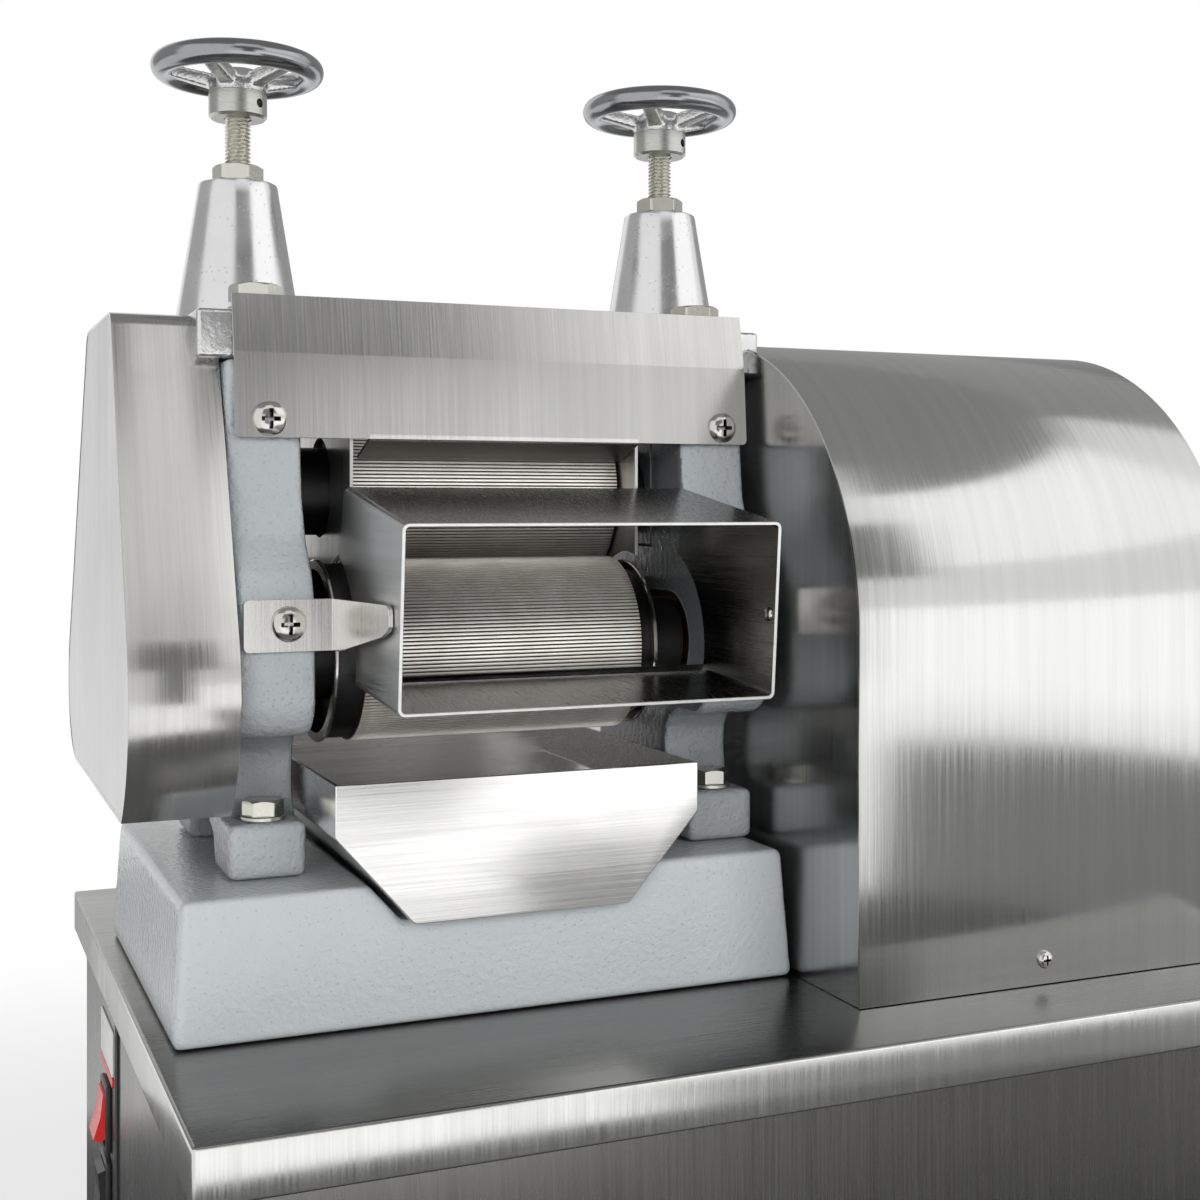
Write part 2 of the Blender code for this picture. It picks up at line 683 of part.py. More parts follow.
def frame_outline():
    """One side frame seen from the side: feet, arch, neck, round belly and straight upper part."""
    top, foot = FRAME_TOP, FRAME_FOOT
    belly_low = LOWER_Z - BEARING_R - 0.009
    toe = foot + FRAME_FOOT_H
    half = [
        (FRAME_TOP_HALF - 0.002, top),
        (FRAME_TOP_HALF, top - 0.002),
        (FRAME_TOP_HALF + 0.0005, TOP_Z + 0.016),
        (FRAME_TOP_HALF + 0.0025, TOP_Z - 0.002),
        (FRAME_TOP_HALF + 0.0085, TOP_Z - 0.017),
        (FRAME_BULGE_HALF - 0.0055, TOP_Z - 0.029),
        (FRAME_BULGE_HALF - 0.0015, TOP_Z - 0.038),
        (FRAME_BULGE_HALF, TOP_Z - 0.048),
        (FRAME_BULGE_HALF, LOWER_Z - 0.012),
    ]
    half += arc((FRAME_BULGE_HALF - 0.014, belly_low + 0.014), 0.014, 0, -90, 4)
    waist = (belly_low + toe) / 2
    half += [
        (FRAME_NECK_HALF + 0.0110, belly_low),
        (FRAME_NECK_HALF + 0.0040, belly_low - 0.0030),
        (FRAME_NECK_HALF + 0.0008, belly_low - 0.0080),
        (FRAME_NECK_HALF, waist),
        (FRAME_NECK_HALF, waist - 0.0030),
        (FRAME_NECK_HALF + 0.0010, toe + 0.0060),
        (FRAME_NECK_HALF + 0.0040, toe),
        (FRAME_FOOT_HALF - 0.0015, toe),
        (FRAME_FOOT_HALF, toe - 0.0015),
        (FRAME_FOOT_HALF, foot),
        (FRAME_ARCH_HALF, foot),
        (FRAME_ARCH_HALF - 0.004, foot + FRAME_ARCH_H * 0.7),
        (FRAME_ARCH_HALF * 0.5, foot + FRAME_ARCH_H),
    ]
    return mirrored(half, PRESS_Y)


def bearing_outline(fit=0.0):
    """The flat-sided oval round both lower shafts."""
    return round_hull(((FRONT_Y, LOWER_Z, BEARING_R + fit), (BACK_Y, LOWER_Z, BEARING_R + fit)), 32)


def make_frames(looks):
    slot_foot = TOP_Z - BLOCK_H / 2 - GAP
    for side, x0, x1 in (("left", OUTER_L, INNER_L), ("right", INNER_R, OUTER_R)):
        frame = piece(f"{side}_side_frame", prism("X", frame_outline(), x0, x1), looks["paint"])
        half = BLOCK_W / 2 + SLIDE_FIT
        cuts = [
            prism("X", bearing_outline(GAP), x0 - PAST, x1 + PAST),
            box(x0 - PAST, x1 + PAST, PRESS_Y - half, PRESS_Y + half, slot_foot, FRAME_TOP + PAST),
        ]
        for name, x, y in bolt_places():
            if name.endswith(side):
                cuts.append(rod("Z", (x, y), FRAME_FOOT - PAST, FRAME_FOOT + 0.03, BOLT_D / 2 + GAP, 16))
        cut(frame, *cuts)
        shape = prism("X", bearing_outline(), x0 + BEARING_RECESS, x1 - BEARING_RECESS)
        insert = piece(f"lower_bearing_{side}", shape, looks["bronze"])
        for y in (FRONT_Y, BACK_Y):
            cut(insert, rod("X", (y, LOWER_Z), x0 - PAST, x1 + PAST, SHAFT_R + SHAFT_FIT))
    for name, x, y in bolt_places():
        seat = FRAME_FOOT + FRAME_FOOT_H + GAP
        profile = (
            (BASE_TOP - BOLT_DEPTH, BOLT_D / 2),
            (seat, BOLT_D / 2),
            (seat, WASHER_D / 2),
            (seat + WASHER_T, WASHER_D / 2),
        )
        bolt = piece(name, turned("Z", (x, y), profile, 24), looks["zinc"])
        head = hexagon((x, y), BOLT_HEAD_AF, BOLT_HEAD_TURN)
        join(bolt, prism("Z", head, seat + WASHER_T / 2, seat + WASHER_T + BOLT_HEAD_H))


# ---------------------------------------------------------------- rollers, shafts and gears

def fluted(y, z):
    outline = []
    for i in range(2 * FLUTE_COUNT):
        radius = ROLLER_R - (i % 2) * FLUTE_DEPTH
        turn = math.pi * i / FLUTE_COUNT
        outline.append((y + radius * math.cos(turn), z + radius * math.sin(turn)))
    return prism("X", outline, FLUTE_L0, FLUTE_L1)


def make_roller(looks, name, y, z, axle, rims):
    roller = piece(name, fluted(y, z), looks["steel"], on=axle)
    low, high = INNER_L + GAP, INNER_R - GAP
    if rims:
        left_rim = FLUTE_L0 - LEFT_NECK_L
        right_rim = FLUTE_L1 + RIGHT_NECK_L
        profile = (
            (low, COLLAR_R),
            (left_rim - RIM_T, COLLAR_R),
            (left_rim - RIM_T, ROLLER_R),
            (left_rim, ROLLER_R),
            (left_rim, NECK_R),
            (right_rim, NECK_R),
            (right_rim, ROLLER_R),
            (right_rim + RIM_T, ROLLER_R),
            (right_rim + RIM_T, COLLAR_R),
            (high, COLLAR_R),
        )
    else:
        profile = ((low, COLLAR_R), (high, COLLAR_R))
    join(roller, turned("X", (y, z), profile, 32))
    cut(roller, rod("X", (y, z), low - PAST, high + PAST, SHAFT_R + SHAFT_FIT))


def make_shaft(looks, name, y, z, axle, right_end):
    chamfer = 0.001
    left_end = GEAR_L0 - 0.005
    profile = (
        (left_end, SHAFT_R - chamfer),
        (left_end + chamfer, SHAFT_R),
        (right_end - chamfer, SHAFT_R),
        (right_end, SHAFT_R - chamfer),
    )
    piece(name, turned("X", (y, z), profile), looks["steel"], on=axle, smooth=True)


def make_gear(looks, name, y, z, teeth, module, phase, slack, span, axle, hub_to):
    shape = prism("X", gear_outline((y, z), teeth, module, phase, slack), *span)
    gear = piece(name, shape, looks["steel"], on=axle)
    low, high = sorted((hub_to, (span[0] + span[1]) / 2))
    join(gear, rod("X", (y, z), low, high, GEAR_HUB_R))
    cut(gear, rod("X", (y, z), min(low, span[0]) - PAST, max(high, span[1]) + PAST, SHAFT_R + SHAFT_FIT))


def make_rollers(looks):
    lift = pivot("top_carriage", (PRESS_X, PRESS_Y, TOP_Z))
    axles = {
        "front": pivot("front_roller_axis", (PRESS_X, FRONT_Y, LOWER_Z)),
        "rear": pivot("rear_roller_axis", (PRESS_X, BACK_Y, LOWER_Z)),
        "top": pivot("top_roller_axis", (PRESS_X, PRESS_Y, TOP_Z), lift),
    }
    places = {"front": (FRONT_Y, LOWER_Z), "rear": (BACK_Y, LOWER_Z), "top": (PRESS_Y, TOP_Z)}
    ends = {"front": BULL_L1 + 0.004, "rear": OUTER_R + 0.002, "top": OUTER_R + 0.002}
    module = PITCH / ROLLER_TEETH
    slack = 0.22 * math.pi * module
    top_phase = math.atan2(LOWER_Z - TOP_Z, FRONT_Y - PRESS_Y)
    phases = {"top": top_phase}
    for side in ("front", "rear"):
        y, z = places[side]
        towards = math.atan2(z - TOP_Z, y - PRESS_Y)
        phases[side] = mating_phase(top_phase, ROLLER_TEETH, ROLLER_TEETH, towards)
    for side, (y, z) in places.items():
        make_roller(looks, f"{side}_roller", y, z, axles[side], side != "top")
        make_shaft(looks, f"{side}_shaft", y, z, axles[side], ends[side])
        make_gear(
            looks, f"{side}_roller_gear", y, z, ROLLER_TEETH, module, phases[side], slack,
            (GEAR_L0, GEAR_L1), axles[side], OUTER_L - 2 * GAP,
        )
    make_top_bearings(looks, lift)
    return axles


def make_top_bearings(looks, lift):
    for side, x0, x1 in (("left", OUTER_L, INNER_L), ("right", INNER_R, OUTER_R)):
        half_y, half_z = BLOCK_W / 2, BLOCK_H / 2
        shape = box(x0, x1, PRESS_Y - half_y, PRESS_Y + half_y, TOP_Z - half_z, TOP_Z + half_z)
        block = piece(f"top_bearing_{side}", shape, looks["bronze"], on=lift)
        round_edges(block, 0.001, 1)
        cut(block, rod("X", (PRESS_Y, TOP_Z), x0 - PAST, x1 + PAST, SHAFT_R + SHAFT_FIT))


# ---------------------------------------------------------------- screws and handwheels

def make_tower(looks, side, x):
    x0, x1 = x - FRAME_T / 2, x + FRAME_T / 2
    flange = box(
        x0, x1, PRESS_Y - TOWER_FLANGE_HALF, PRESS_Y + TOWER_FLANGE_HALF, TOWER_FLANGE, TOWER_FOOT
    )
    tower = piece(f"{side}_screw_tower", flange, looks["chrome"])
    round_edges(tower, 0.0015, 2)
    cone = (
        (TOWER_FOOT - 0.0005, TOWER_FOOT_R),
        (TOWER_FOOT + 0.003, TOWER_FOOT_R),
        (TOWER_TOP - 0.0015, TOWER_TOP_R),
        (TOWER_TOP, TOWER_TOP_R - 0.0015),
    )
    join(tower, turned("Z", (x, PRESS_Y), cone, 32))
    bore = SPINDLE_R + SPINDLE_FIT
    cut(tower, rod("Z", (x, PRESS_Y), TOWER_FLANGE - PAST, TOWER_TOP + PAST, bore))
    seat = TOWER_TOP + GAP
    nut_top = seat + NUT_H
    shape = prism("Z", hexagon((x, PRESS_Y), NUT_AF, NUT_TURN), seat, nut_top)
    nut = piece(f"{side}_lock_nut", shape, looks["zinc"])
    cut(nut, rod("Z", (x, PRESS_Y), seat - PAST, nut_top + PAST, bore))
    return nut_top


def make_screw(looks, side, x):
    nut_top = make_tower(looks, side, x)
    pad_foot = TOP_Z + BLOCK_H / 2 + PAD_REST_GAP
    pad_top = pad_foot + PAD_T
    travel = pivot(f"{side}_screw_travel", (x, PRESS_Y, pad_foot))
    pad_profile = ((pad_foot, PAD_R - 0.001), (pad_foot + 0.001, PAD_R), (pad_top, PAD_R))
    piece(f"{side}_pressure_pad", turned("Z", (x, PRESS_Y), pad_profile, 24), looks["steel"], on=travel)
    hub_foot = nut_top + WHEEL_HUB_LIFT
    hub_top = hub_foot + HUB_H
    turn = pivot(f"{side}_handwheel_axis", (x, PRESS_Y, hub_foot), travel)
    rod_top = hub_top - 0.001
    spindle = ((pad_top + GAP, SPINDLE_R), (rod_top - 0.001, SPINDLE_R), (rod_top, SPINDLE_R - 0.001))
    piece(f"{side}_spindle", turned("Z", (x, PRESS_Y), spindle, 24), looks["zinc"], on=turn, smooth=True)
    make_handwheel(looks, side, x, hub_foot, turn)


def make_handwheel(looks, side, x, hub_foot, turn):
    rim_z = hub_foot + WHEEL_RISE
    hub_top = hub_foot + HUB_H
    shape = bmesh.new()
    rings = []
    around, about = 30, 6
    for i in range(around):
        swing = 2 * math.pi * i / around
        ring = []
        for j in range(about):
            roll = 2 * math.pi * (j + 0.5) / about
            reach = WHEEL_R + WHEEL_RIM_R * math.cos(roll)
            place = (
                x + reach * math.cos(swing),
                PRESS_Y + reach * math.sin(swing),
                rim_z + WHEEL_RIM_R * math.sin(roll),
            )
            ring.append(shape.verts.new(place))
        rings.append(ring)
    for i in range(around):
        for j in range(about):
            a, b = rings[i], rings[(i + 1) % around]
            k = (j + 1) % about
            shape.faces.new((a[j], b[j], b[k], a[k]))
    wheel = piece(f"{side}_handwheel", shape, looks["chrome"], on=turn, smooth=True)
    hub = (
        (hub_foot, HUB_R - 0.001),
        (hub_foot + 0.001, HUB_R),
        (hub_top - 0.004, HUB_R),
        (hub_top, HUB_R - 0.002),
    )
    parts = [turned("Z", (x, PRESS_Y), hub, 24)]
    for i in range(WHEEL_SPOKES):
        parts.append(spoke(x, hub_top, rim_z, 2 * math.pi * (i + 0.25) / WHEEL_SPOKES))
    join(wheel, *parts)
    cut(wheel, rod("Z", (x, PRESS_Y), hub_foot - PAST, hub_top + PAST, SPINDLE_R + GAP, 24))


def spoke(x, hub_top, rim_z, swing):
    """A flat arm that climbs from the hub to the rim."""
    along = Vector((math.cos(swing), math.sin(swing), 0))
    across = Vector((-math.sin(swing), math.cos(swing), 0))
    middle = Vector((x, PRESS_Y, 0))
    shape = bmesh.new()
    ends = []
    for reach, height, half_w, half_t in (
        (HUB_R - 0.003, hub_top - 0.0045, 0.0042, 0.0026),
        (WHEEL_R - 0.006, rim_z - 0.0012, 0.0030, 0.0020),
        (WHEEL_R - 0.0005, rim_z, 0.0030, 0.0018),
    ):
        place = middle + along * reach + Vector((0, 0, height))
        up = Vector((0, 0, half_t))
        ends.append([
            shape.verts.new(place + across * half_w + up),
            shape.verts.new(place - across * half_w + up),
            shape.verts.new(place - across * half_w - up),
            shape.verts.new(place + across * half_w - up),
        ])
    shape.faces.new(ends[0])
    shape.faces.new(ends[-1])
    for first, second in zip(ends, ends[1:]):
        for i in range(4):
            j = (i + 1) % 4
            shape.faces.new((first[i], first[j], second[j], second[i]))
    return shape


# ---------------------------------------------------------------- sheet metal round the rollers

def strip_outline(points, thickness):
    """A folded sheet's edge: the points are its outer face, and the thickness goes to its left."""
    offsets = []
    for i, (a, b) in enumerate(points):
        before = points[max(i - 1, 0)]
        after = points[min(i + 1, len(points) - 1)]
        legs = [v for v in ((a - before[0], b - before[1]), (after[0] - a, after[1] - b)) if v != (0, 0)]
        normals = [(-v / math.hypot(u, v), u / math.hypot(u, v)) for u, v in legs]
        total = (sum(n[0] for n in normals), sum(n[1] for n in normals))
        size = math.hypot(*total)
        bisector = (total[0] / size, total[1] / size)
        stretch = thickness / (bisector[0] * normals[0][0] + bisector[1] * normals[0][1])
        offsets.append((a + bisector[0] * stretch, b + bisector[1] * stretch))
    return list(points) + offsets[::-1]


def make_guard(looks):
    """The folded plate across the front, with the flap that reaches back to the top roller."""
    face = PRESS_Y - FRAME_TOP_HALF - GAP - SHEET
    low, fold, top = TOP_Z + GUARD_LOW, TOP_Z + GUARD_FOLD, TOP_Z + GUARD_TOP
    edge_y, edge_z = face - 0.0022, low
    outline = strip_outline([(face + GUARD_LEAN, top), (face, fold), (edge_y, edge_z)], SHEET)
    guard = piece(
        "guard_plate", prism("X", outline, PRESS_X - GUARD_LEFT, PRESS_X + GUARD_RIGHT), looks["stainless"]
    )
    flap_drop = 0.0072
    reach = ROLLER_R + SCRAPER_GAP + SHEET
    flap_z = edge_z - flap_drop
    flap_y = PRESS_Y - math.sqrt(reach ** 2 - (flap_z - TOP_Z) ** 2)
    flap = strip_outline([(edge_y, edge_z), (flap_y, flap_z)], SHEET)
    middle = PRESS_X + GUARD_FLAP_SHIFT
    join(guard, prism("X", flap, middle - GUARD_FLAP_HALF, middle + GUARD_FLAP_HALF))


def make_cheeks(looks):
    """Side plates that keep the cane between the rollers, hung from the frames by a flange."""
    low, top = TOP_Z - ROLLER_R + CHEEK_LOW, TOP_Z + CHEEK_TOP
    y0, y1 = PRESS_Y - CHEEK_HALF, PRESS_Y + CHEEK_HALF
    hole = SHAFT_R + 0.0055
    rise = TOP_LIFT + 0.0005
    shaft_slot = round_hull(((PRESS_Y, TOP_Z, hole), (PRESS_Y, TOP_Z + rise, hole)), 24)
    left = (FLUTE_L0 - CHEEK_ROLLER_GAP - SHEET, FLUTE_L0 - CHEEK_ROLLER_GAP)
    right = (FLUTE_L1 + CHEEK_ROLLER_GAP, FLUTE_L1 + CHEEK_ROLLER_GAP + SHEET)
    for side, (x0, x1), flange in (
        ("left", left, (INNER_L + GAP, left[1])),
        ("right", right, (right[0], INNER_R - GAP)),
    ):
        cheek = piece(f"{side}_cheek", box(x0, x1, y0, y1, low, top), looks["stainless"])
        cuts = [prism("X", shaft_slot, x0 - PAST, x1 + PAST)]
        for y in (FRONT_Y, BACK_Y):
            cuts.append(rod("X", (y, LOWER_Z), x0 - PAST, x1 + PAST, ROLLER_R + 0.002, 40))
        cut(cheek, *cuts)
        join(cheek, box(*flange, y0 + 0.006, y1 - 0.002, top - SHEET, top))
    return left[1], right[0]


def make_scraper(looks, x0, x1):
    """The plate behind the top roller that strips fibre from it."""
    reach = ROLLER_R + SCRAPER_GAP + SHEET
    edge_z = TOP_Z + 0.012
    edge_y = PRESS_Y + math.sqrt(reach ** 2 - (edge_z - TOP_Z) ** 2)
    top_y, top_z = PRESS_Y + CHEEK_HALF - 0.003, TOP_Z + CHEEK_TOP - SHEET - GAP
    outline = strip_outline([(edge_y, edge_z), (top_y, top_z - 0.004), (top_y, top_z)], SHEET)
    piece("rear_scraper", prism("X", outline, x0 + GAP, x1 - GAP), looks["stainless"])


def make_turner(looks):
    """The bar under the top roller that turns the cane from the first nip to the second."""
    bow_r = ROLLER_R + 2 * SCRAPER_GAP
    half = 0.011
    swing = math.degrees(math.asin(half / bow_r))
    outline = arc((PRESS_Y, TOP_Z), bow_r, -90 - swing, -90 + swing, 6)
    foot = TOP_Z - bow_r - 0.0055
    outline += [(PRESS_Y + 0.0065, foot), (PRESS_Y - 0.0065, foot)]
    piece("cane_turner", prism("X", outline, INNER_L + GAP, INNER_R - GAP), looks["steel"])


def chute_outline(shrink=0.0, reach=0.0):
    """The chute from the side, with floor and roof moved in by shrink and both ends moved out by reach."""
    lip_y, lip_z = FRONT_Y - CHUTE_MOUTH, LOWER_Z - CHUTE_MOUTH_DROP
    brow_y = lip_y - CHUTE_H * math.sin(CHUTE_LEAN)
    brow_z = lip_z + CHUTE_H * math.cos(CHUTE_LEAN)

    def floor(run):
        return lip_y + run, lip_z + run * math.tan(CHUTE_FLOOR_SLOPE) + shrink / math.cos(CHUTE_FLOOR_SLOPE)

    def roof(run):
        return brow_y + run, brow_z + run * math.tan(CHUTE_ROOF_SLOPE) - shrink / math.cos(CHUTE_ROOF_SLOPE)

    return [floor(-reach), floor(CHUTE_FLOOR_L + reach), roof(CHUTE_ROOF_L + reach), roof(-reach)]


def chute_walls():
    return FLUTE_L0 - CHUTE_SIDE_ROOM, INNER_R - CHUTE_FRAME_GAP


def make_chute(looks):
    x0, x1 = chute_walls()
    chute = piece("feed_chute", prism("X", chute_outline(), x0, x1), looks["stainless"])
    cut(
        chute,
        prism("X", chute_outline(SHEET, 0.01), x0 + SHEET, x1 - SHEET),
        rod("X", (FRONT_Y, LOWER_Z), x0 - PAST, x1 + PAST, ROLLER_R + 2 * SCRAPER_GAP, 48),
    )


def make_brackets(looks):
    """The angles that carry the chute: a tab on the frame's belly and a strip along the chute's side."""
    x0, x1 = chute_walls()
    y1 = PRESS_Y - FRAME_BULGE_HALF - GAP
    y0 = y1 - BRACKET_SHEET
    z0, z1 = LOWER_Z + BRACKET_RISE - BRACKET_H / 2, LOWER_Z + BRACKET_RISE + BRACKET_H / 2
    left_strip = x0 - GAP
    right_strip = x1 + GAP
    plates = (
        ("left", (OUTER_L + 0.002, left_strip), (left_strip - BRACKET_SHEET, left_strip)),
        ("right", (right_strip, OUTER_R - 0.002), (right_strip, right_strip + BRACKET_SHEET)),
    )
    for side, tab, strip in plates:
        bracket = piece(f"{side}_chute_bracket", box(*tab, y0, y1, z0, z1), looks["stainless"])
        join(bracket, box(*strip, y1 - STRIP_L, y1, z0, z1))


def make_tray(looks):
    outline = tray_outline()
    y0, y1 = PRESS_Y - TRAY_FORWARD, NOTCH_END - TRAY_END_FIT
    travel = pivot("tray_travel", (PRESS_X + TRAY_SHIFT, y0, TRAY_FLOOR))
    tray = piece("juice_tray", prism("Y", outline, y0, y1), looks["stainless"], on=travel)
    inner = inset(outline, SHEET)
    top = BASE_TOP + TRAY_TOP + PAST
    inner[3] = (inner[3][0], top)
    inner[4] = (inner[4][0], top)
    cut(tray, prism("Y", inner, y0 + SHEET, y1 - SHEET))


# ---------------------------------------------------------------- covers

def gear_cover_circles():
    """The four rounded corners of the gear cover from the side, as (y, z, radius)."""
    top = TOWER_FOOT - COVER_TOP_DROP
    front, rear, low = GEAR_COVER_TOP_R, GEAR_COVER_TOP_R + 0.0015, GEAR_COVER_REAR_R
    nose = ROLLER_R - GEAR_COVER_NOSE_TRIM
    return (
        (FRONT_Y - PITCH / 2 + GEAR_COVER_TOP_IN, top - front, front),
        (BACK_Y + 0.002, top - rear, rear),
        (BACK_Y + GEAR_COVER_REAR_OUT, LOWER_Z - GEAR_COVER_DROP, low),
        (FRONT_Y - GEAR_COVER_NOSE, LOWER_Z - GEAR_COVER_DROP, nose),
    )


def make_gear_cover(looks):
    circles = gear_cover_circles()
    inner = [(y, z, radius - SHEET) for y, z, radius in circles]
    x0 = GEAR_L0 - GEAR_COVER_ROOM
    x1 = OUTER_L - GAP
    shape = prism("X", round_hull(circles, 36), x0, x1)
    cover = piece("gear_cover", shape, looks["stainless"], smooth=True)
    cut(cover, prism("X", round_hull(inner, 36), x0 + SHEET, x1 + PAST))


def arch_outline(middle, half, foot, top, radius):
    points = [(middle + half, foot)]
    points += arc((middle + half - radius, top - radius), radius, 0, 90, 14)
    points += arc((middle - half + radius, top - radius), radius, 90, 180, 14)
    points += [(middle - half, foot)]
    return points


def make_drive_cover(looks):
    x0 = OUTER_R + DRIVE_COVER_GAP
    x1 = x0 + DRIVE_COVER_W
    foot, top = DECK + GAP, TOWER_FOOT - DRIVE_COVER_DROP
    outer = arch_outline(PRESS_Y, DRIVE_COVER_HALF, foot, top, DRIVE_COVER_R)
    cover = piece("drive_cover", prism("X", outer, x0, x1), looks["stainless"], smooth=True)
    inner_half, inner_r = DRIVE_COVER_HALF - SHEET, DRIVE_COVER_R - SHEET
    inner = arch_outline(PRESS_Y, inner_half, foot - PAST, top - SHEET, inner_r)
    cut(
        cover,
        prism("X", inner, x0 + SHEET, x1 - SHEET),
        rod("X", (FRONT_Y, LOWER_Z), x0 - PAST, x0 + PAST, SHAFT_R + 0.002),
    )


# ---------------------------------------------------------------- drive

def make_drive(looks, axles):
    bull_phase = -PINION_BELOW
    make_gear(
        looks, "bull_gear", FRONT_Y, LOWER_Z, BULL_TEETH, BULL_MODULE, bull_phase, GEAR_BACKLASH,
        (BULL_L0, BULL_L1), axles["front"], OUTER_R + DRIVE_COVER_GAP + SHEET + 0.001,
    )
    counter = pivot("countershaft_axis", (BULL_L0, PINION_Y, PINION_Z))
    pinion_phase = mating_phase(bull_phase, BULL_TEETH, PINION_TEETH, -PINION_BELOW)
    centre = (PINION_Y, PINION_Z)
    outline = gear_outline(centre, PINION_TEETH, BULL_MODULE, pinion_phase, GEAR_BACKLASH)
    pinion = piece("pinion_shaft", prism("X", outline, BULL_L0, BULL_L1), looks["steel"], on=counter)
    join(pinion, rod("X", centre, BULL_L0 - 0.003, PULLEY_L1 + 0.004, PINION_SHAFT_R))
    make_bracket(looks)
    make_pulley(looks, "driven_pulley", centre, DRIVEN_R, PINION_SHAFT_R, counter)
    make_motor(looks)
    make_belt(looks)


def make_bracket(looks):
    foot = DECK + GAP
    boss = arc((PINION_Y, PINION_Z), PINION_SHAFT_R + BRACKET_WALL, 0, 360, 24)
    sides = (PINION_Y - BRACKET_HALF, PINION_Y + BRACKET_HALF)
    outline = hull(boss + [(y, z) for y in sides for z in (foot, foot + BRACKET_WALL)])
    bracket = piece("pinion_bracket", prism("X", outline, BRACKET_L0, BRACKET_L1), looks["paint"])
    bore = PINION_SHAFT_R + SHAFT_FIT
    cut(bracket, rod("X", (PINION_Y, PINION_Z), BRACKET_L0 - PAST, BRACKET_L1 + PAST, bore))


def pulley_profile(radius):
    groove = BELT_W / 2 + BELT_FIT
    floor = radius - GROOVE_DEPTH
    return (
        (PULLEY_L0, radius),
        (PULLEY_MID - groove - 0.001, radius),
        (PULLEY_MID - groove, floor),
        (PULLEY_MID + groove, floor),
        (PULLEY_MID + groove + 0.001, radius),
        (PULLEY_L1, radius),
    )


def make_pulley(looks, name, centre, radius, bore, axle):
    shape = turned("X", centre, pulley_profile(radius), 32)
    pulley = piece(name, shape, looks["black_iron"], on=axle, smooth=True)
    cut(pulley, rod("X", centre, PULLEY_L0 - PAST, PULLEY_L1 + PAST, bore + SHAFT_FIT))


def make_motor(looks):
    """A foot-mounted gear motor; its output shaft is one piece with the small pulley."""
    centre = (MOTOR_Y, MOTOR_Z)
    head_end = PULLEY_L0 - 0.008
    head_start = head_end - HEAD_L
    start = head_start - MOTOR_L
    profile = (
        (start, MOTOR_R * 0.6),
        (start + 0.004, MOTOR_R * 0.88),
        (start + 0.028, MOTOR_R * 0.90),
        (start + 0.029, MOTOR_R),
        (head_start - 0.004, MOTOR_R),
        (head_start, HEAD_R),
        (head_end - 0.002, HEAD_R),
        (head_end, HEAD_R - 0.002),
    )
    motor = piece("gear_motor", turned("X", centre, profile, 32), looks["paint"], smooth=True)
    floor = FOOT_H + SHEET + GAP
    foot = box(
        start + 0.030, head_start - 0.006, MOTOR_Y - MOTOR_R * 0.9, MOTOR_Y + MOTOR_R * 0.9,
        floor, floor + 0.006,
    )
    web = box(
        start + 0.034, head_start - 0.010, MOTOR_Y - MOTOR_R * 0.5, MOTOR_Y + MOTOR_R * 0.5,
        floor + 0.003, MOTOR_Z - MOTOR_R * 0.7,
    )
    join(motor, web, foot)
    bore = MOTOR_SHAFT_R + SHAFT_FIT
    cut(motor, rod("X", centre, head_end - 0.025, head_end + PAST, bore, 24))
    axle = pivot("motor_shaft_axis", (PULLEY_MID, MOTOR_Y, MOTOR_Z))
    shape = turned("X", centre, pulley_profile(DRIVER_R), 32)
    pulley = piece("motor_pulley", shape, looks["black_iron"], on=axle, smooth=True)
    join(pulley, rod("X", centre, head_end - 0.022, PULLEY_L1 + 0.003, MOTOR_SHAFT_R, 24))


def make_belt(looks):
    sink = GROOVE_DEPTH - BELT_FIT
    inner = [
        (PINION_Y, PINION_Z, DRIVEN_R - sink),
        (MOTOR_Y, MOTOR_Z, DRIVER_R - sink),
    ]
    outer = [(y, z, radius + BELT_T) for y, z, radius in inner]
    x0, x1 = PULLEY_MID - BELT_W / 2, PULLEY_MID + BELT_W / 2
    belt = piece("drive_belt", prism("X", round_hull(outer, 40), x0, x1), looks["belt"])
    slack = 0.0004
    cut(belt, prism("X", round_hull([(y, z, r + slack) for y, z, r in inner], 40), x0 - PAST, x1 + PAST))


# ---------------------------------------------------------------- the whole machine

def build():
    clear_scene()
    looks = make_materials()
    make_cabinet(looks)
    power, direction = switch_drops()
    make_switch(looks, "power", power, "red_plastic", -ROCKER_TILT)
    make_switch(looks, "direction", direction, "black_plastic", 0.0)
    make_base(looks)
    make_frames(looks)
    axles = make_rollers(looks)
    for side, x in (("left", (OUTER_L + INNER_L) / 2), ("right", (INNER_R + OUTER_R) / 2)):
        make_screw(looks, side, x)
    make_guard(looks)
    cheek_x0, cheek_x1 = make_cheeks(looks)
    make_scraper(looks, cheek_x0, cheek_x1)
    make_turner(looks)
    make_chute(looks)
    make_brackets(looks)
    make_tray(looks)
    make_gear_cover(looks)
    make_drive_cover(looks)
    make_drive(looks, axles)


build()
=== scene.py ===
# %% [markdown]
# # A bench-top cane press in brushed steel, cast iron and chrome
#
# This lesson dresses a packed mechanical model. The mechanical model gives every solid its place and its
# motion; here each visible piece gets its finish, and most get a finer mesh: rolled edges, screw threads,
# fluted rollers, cast skins and sheet metal with real bend radii. Nothing is moved: all places are read
# from the model.

# %% Load the mechanical model
import json
import math

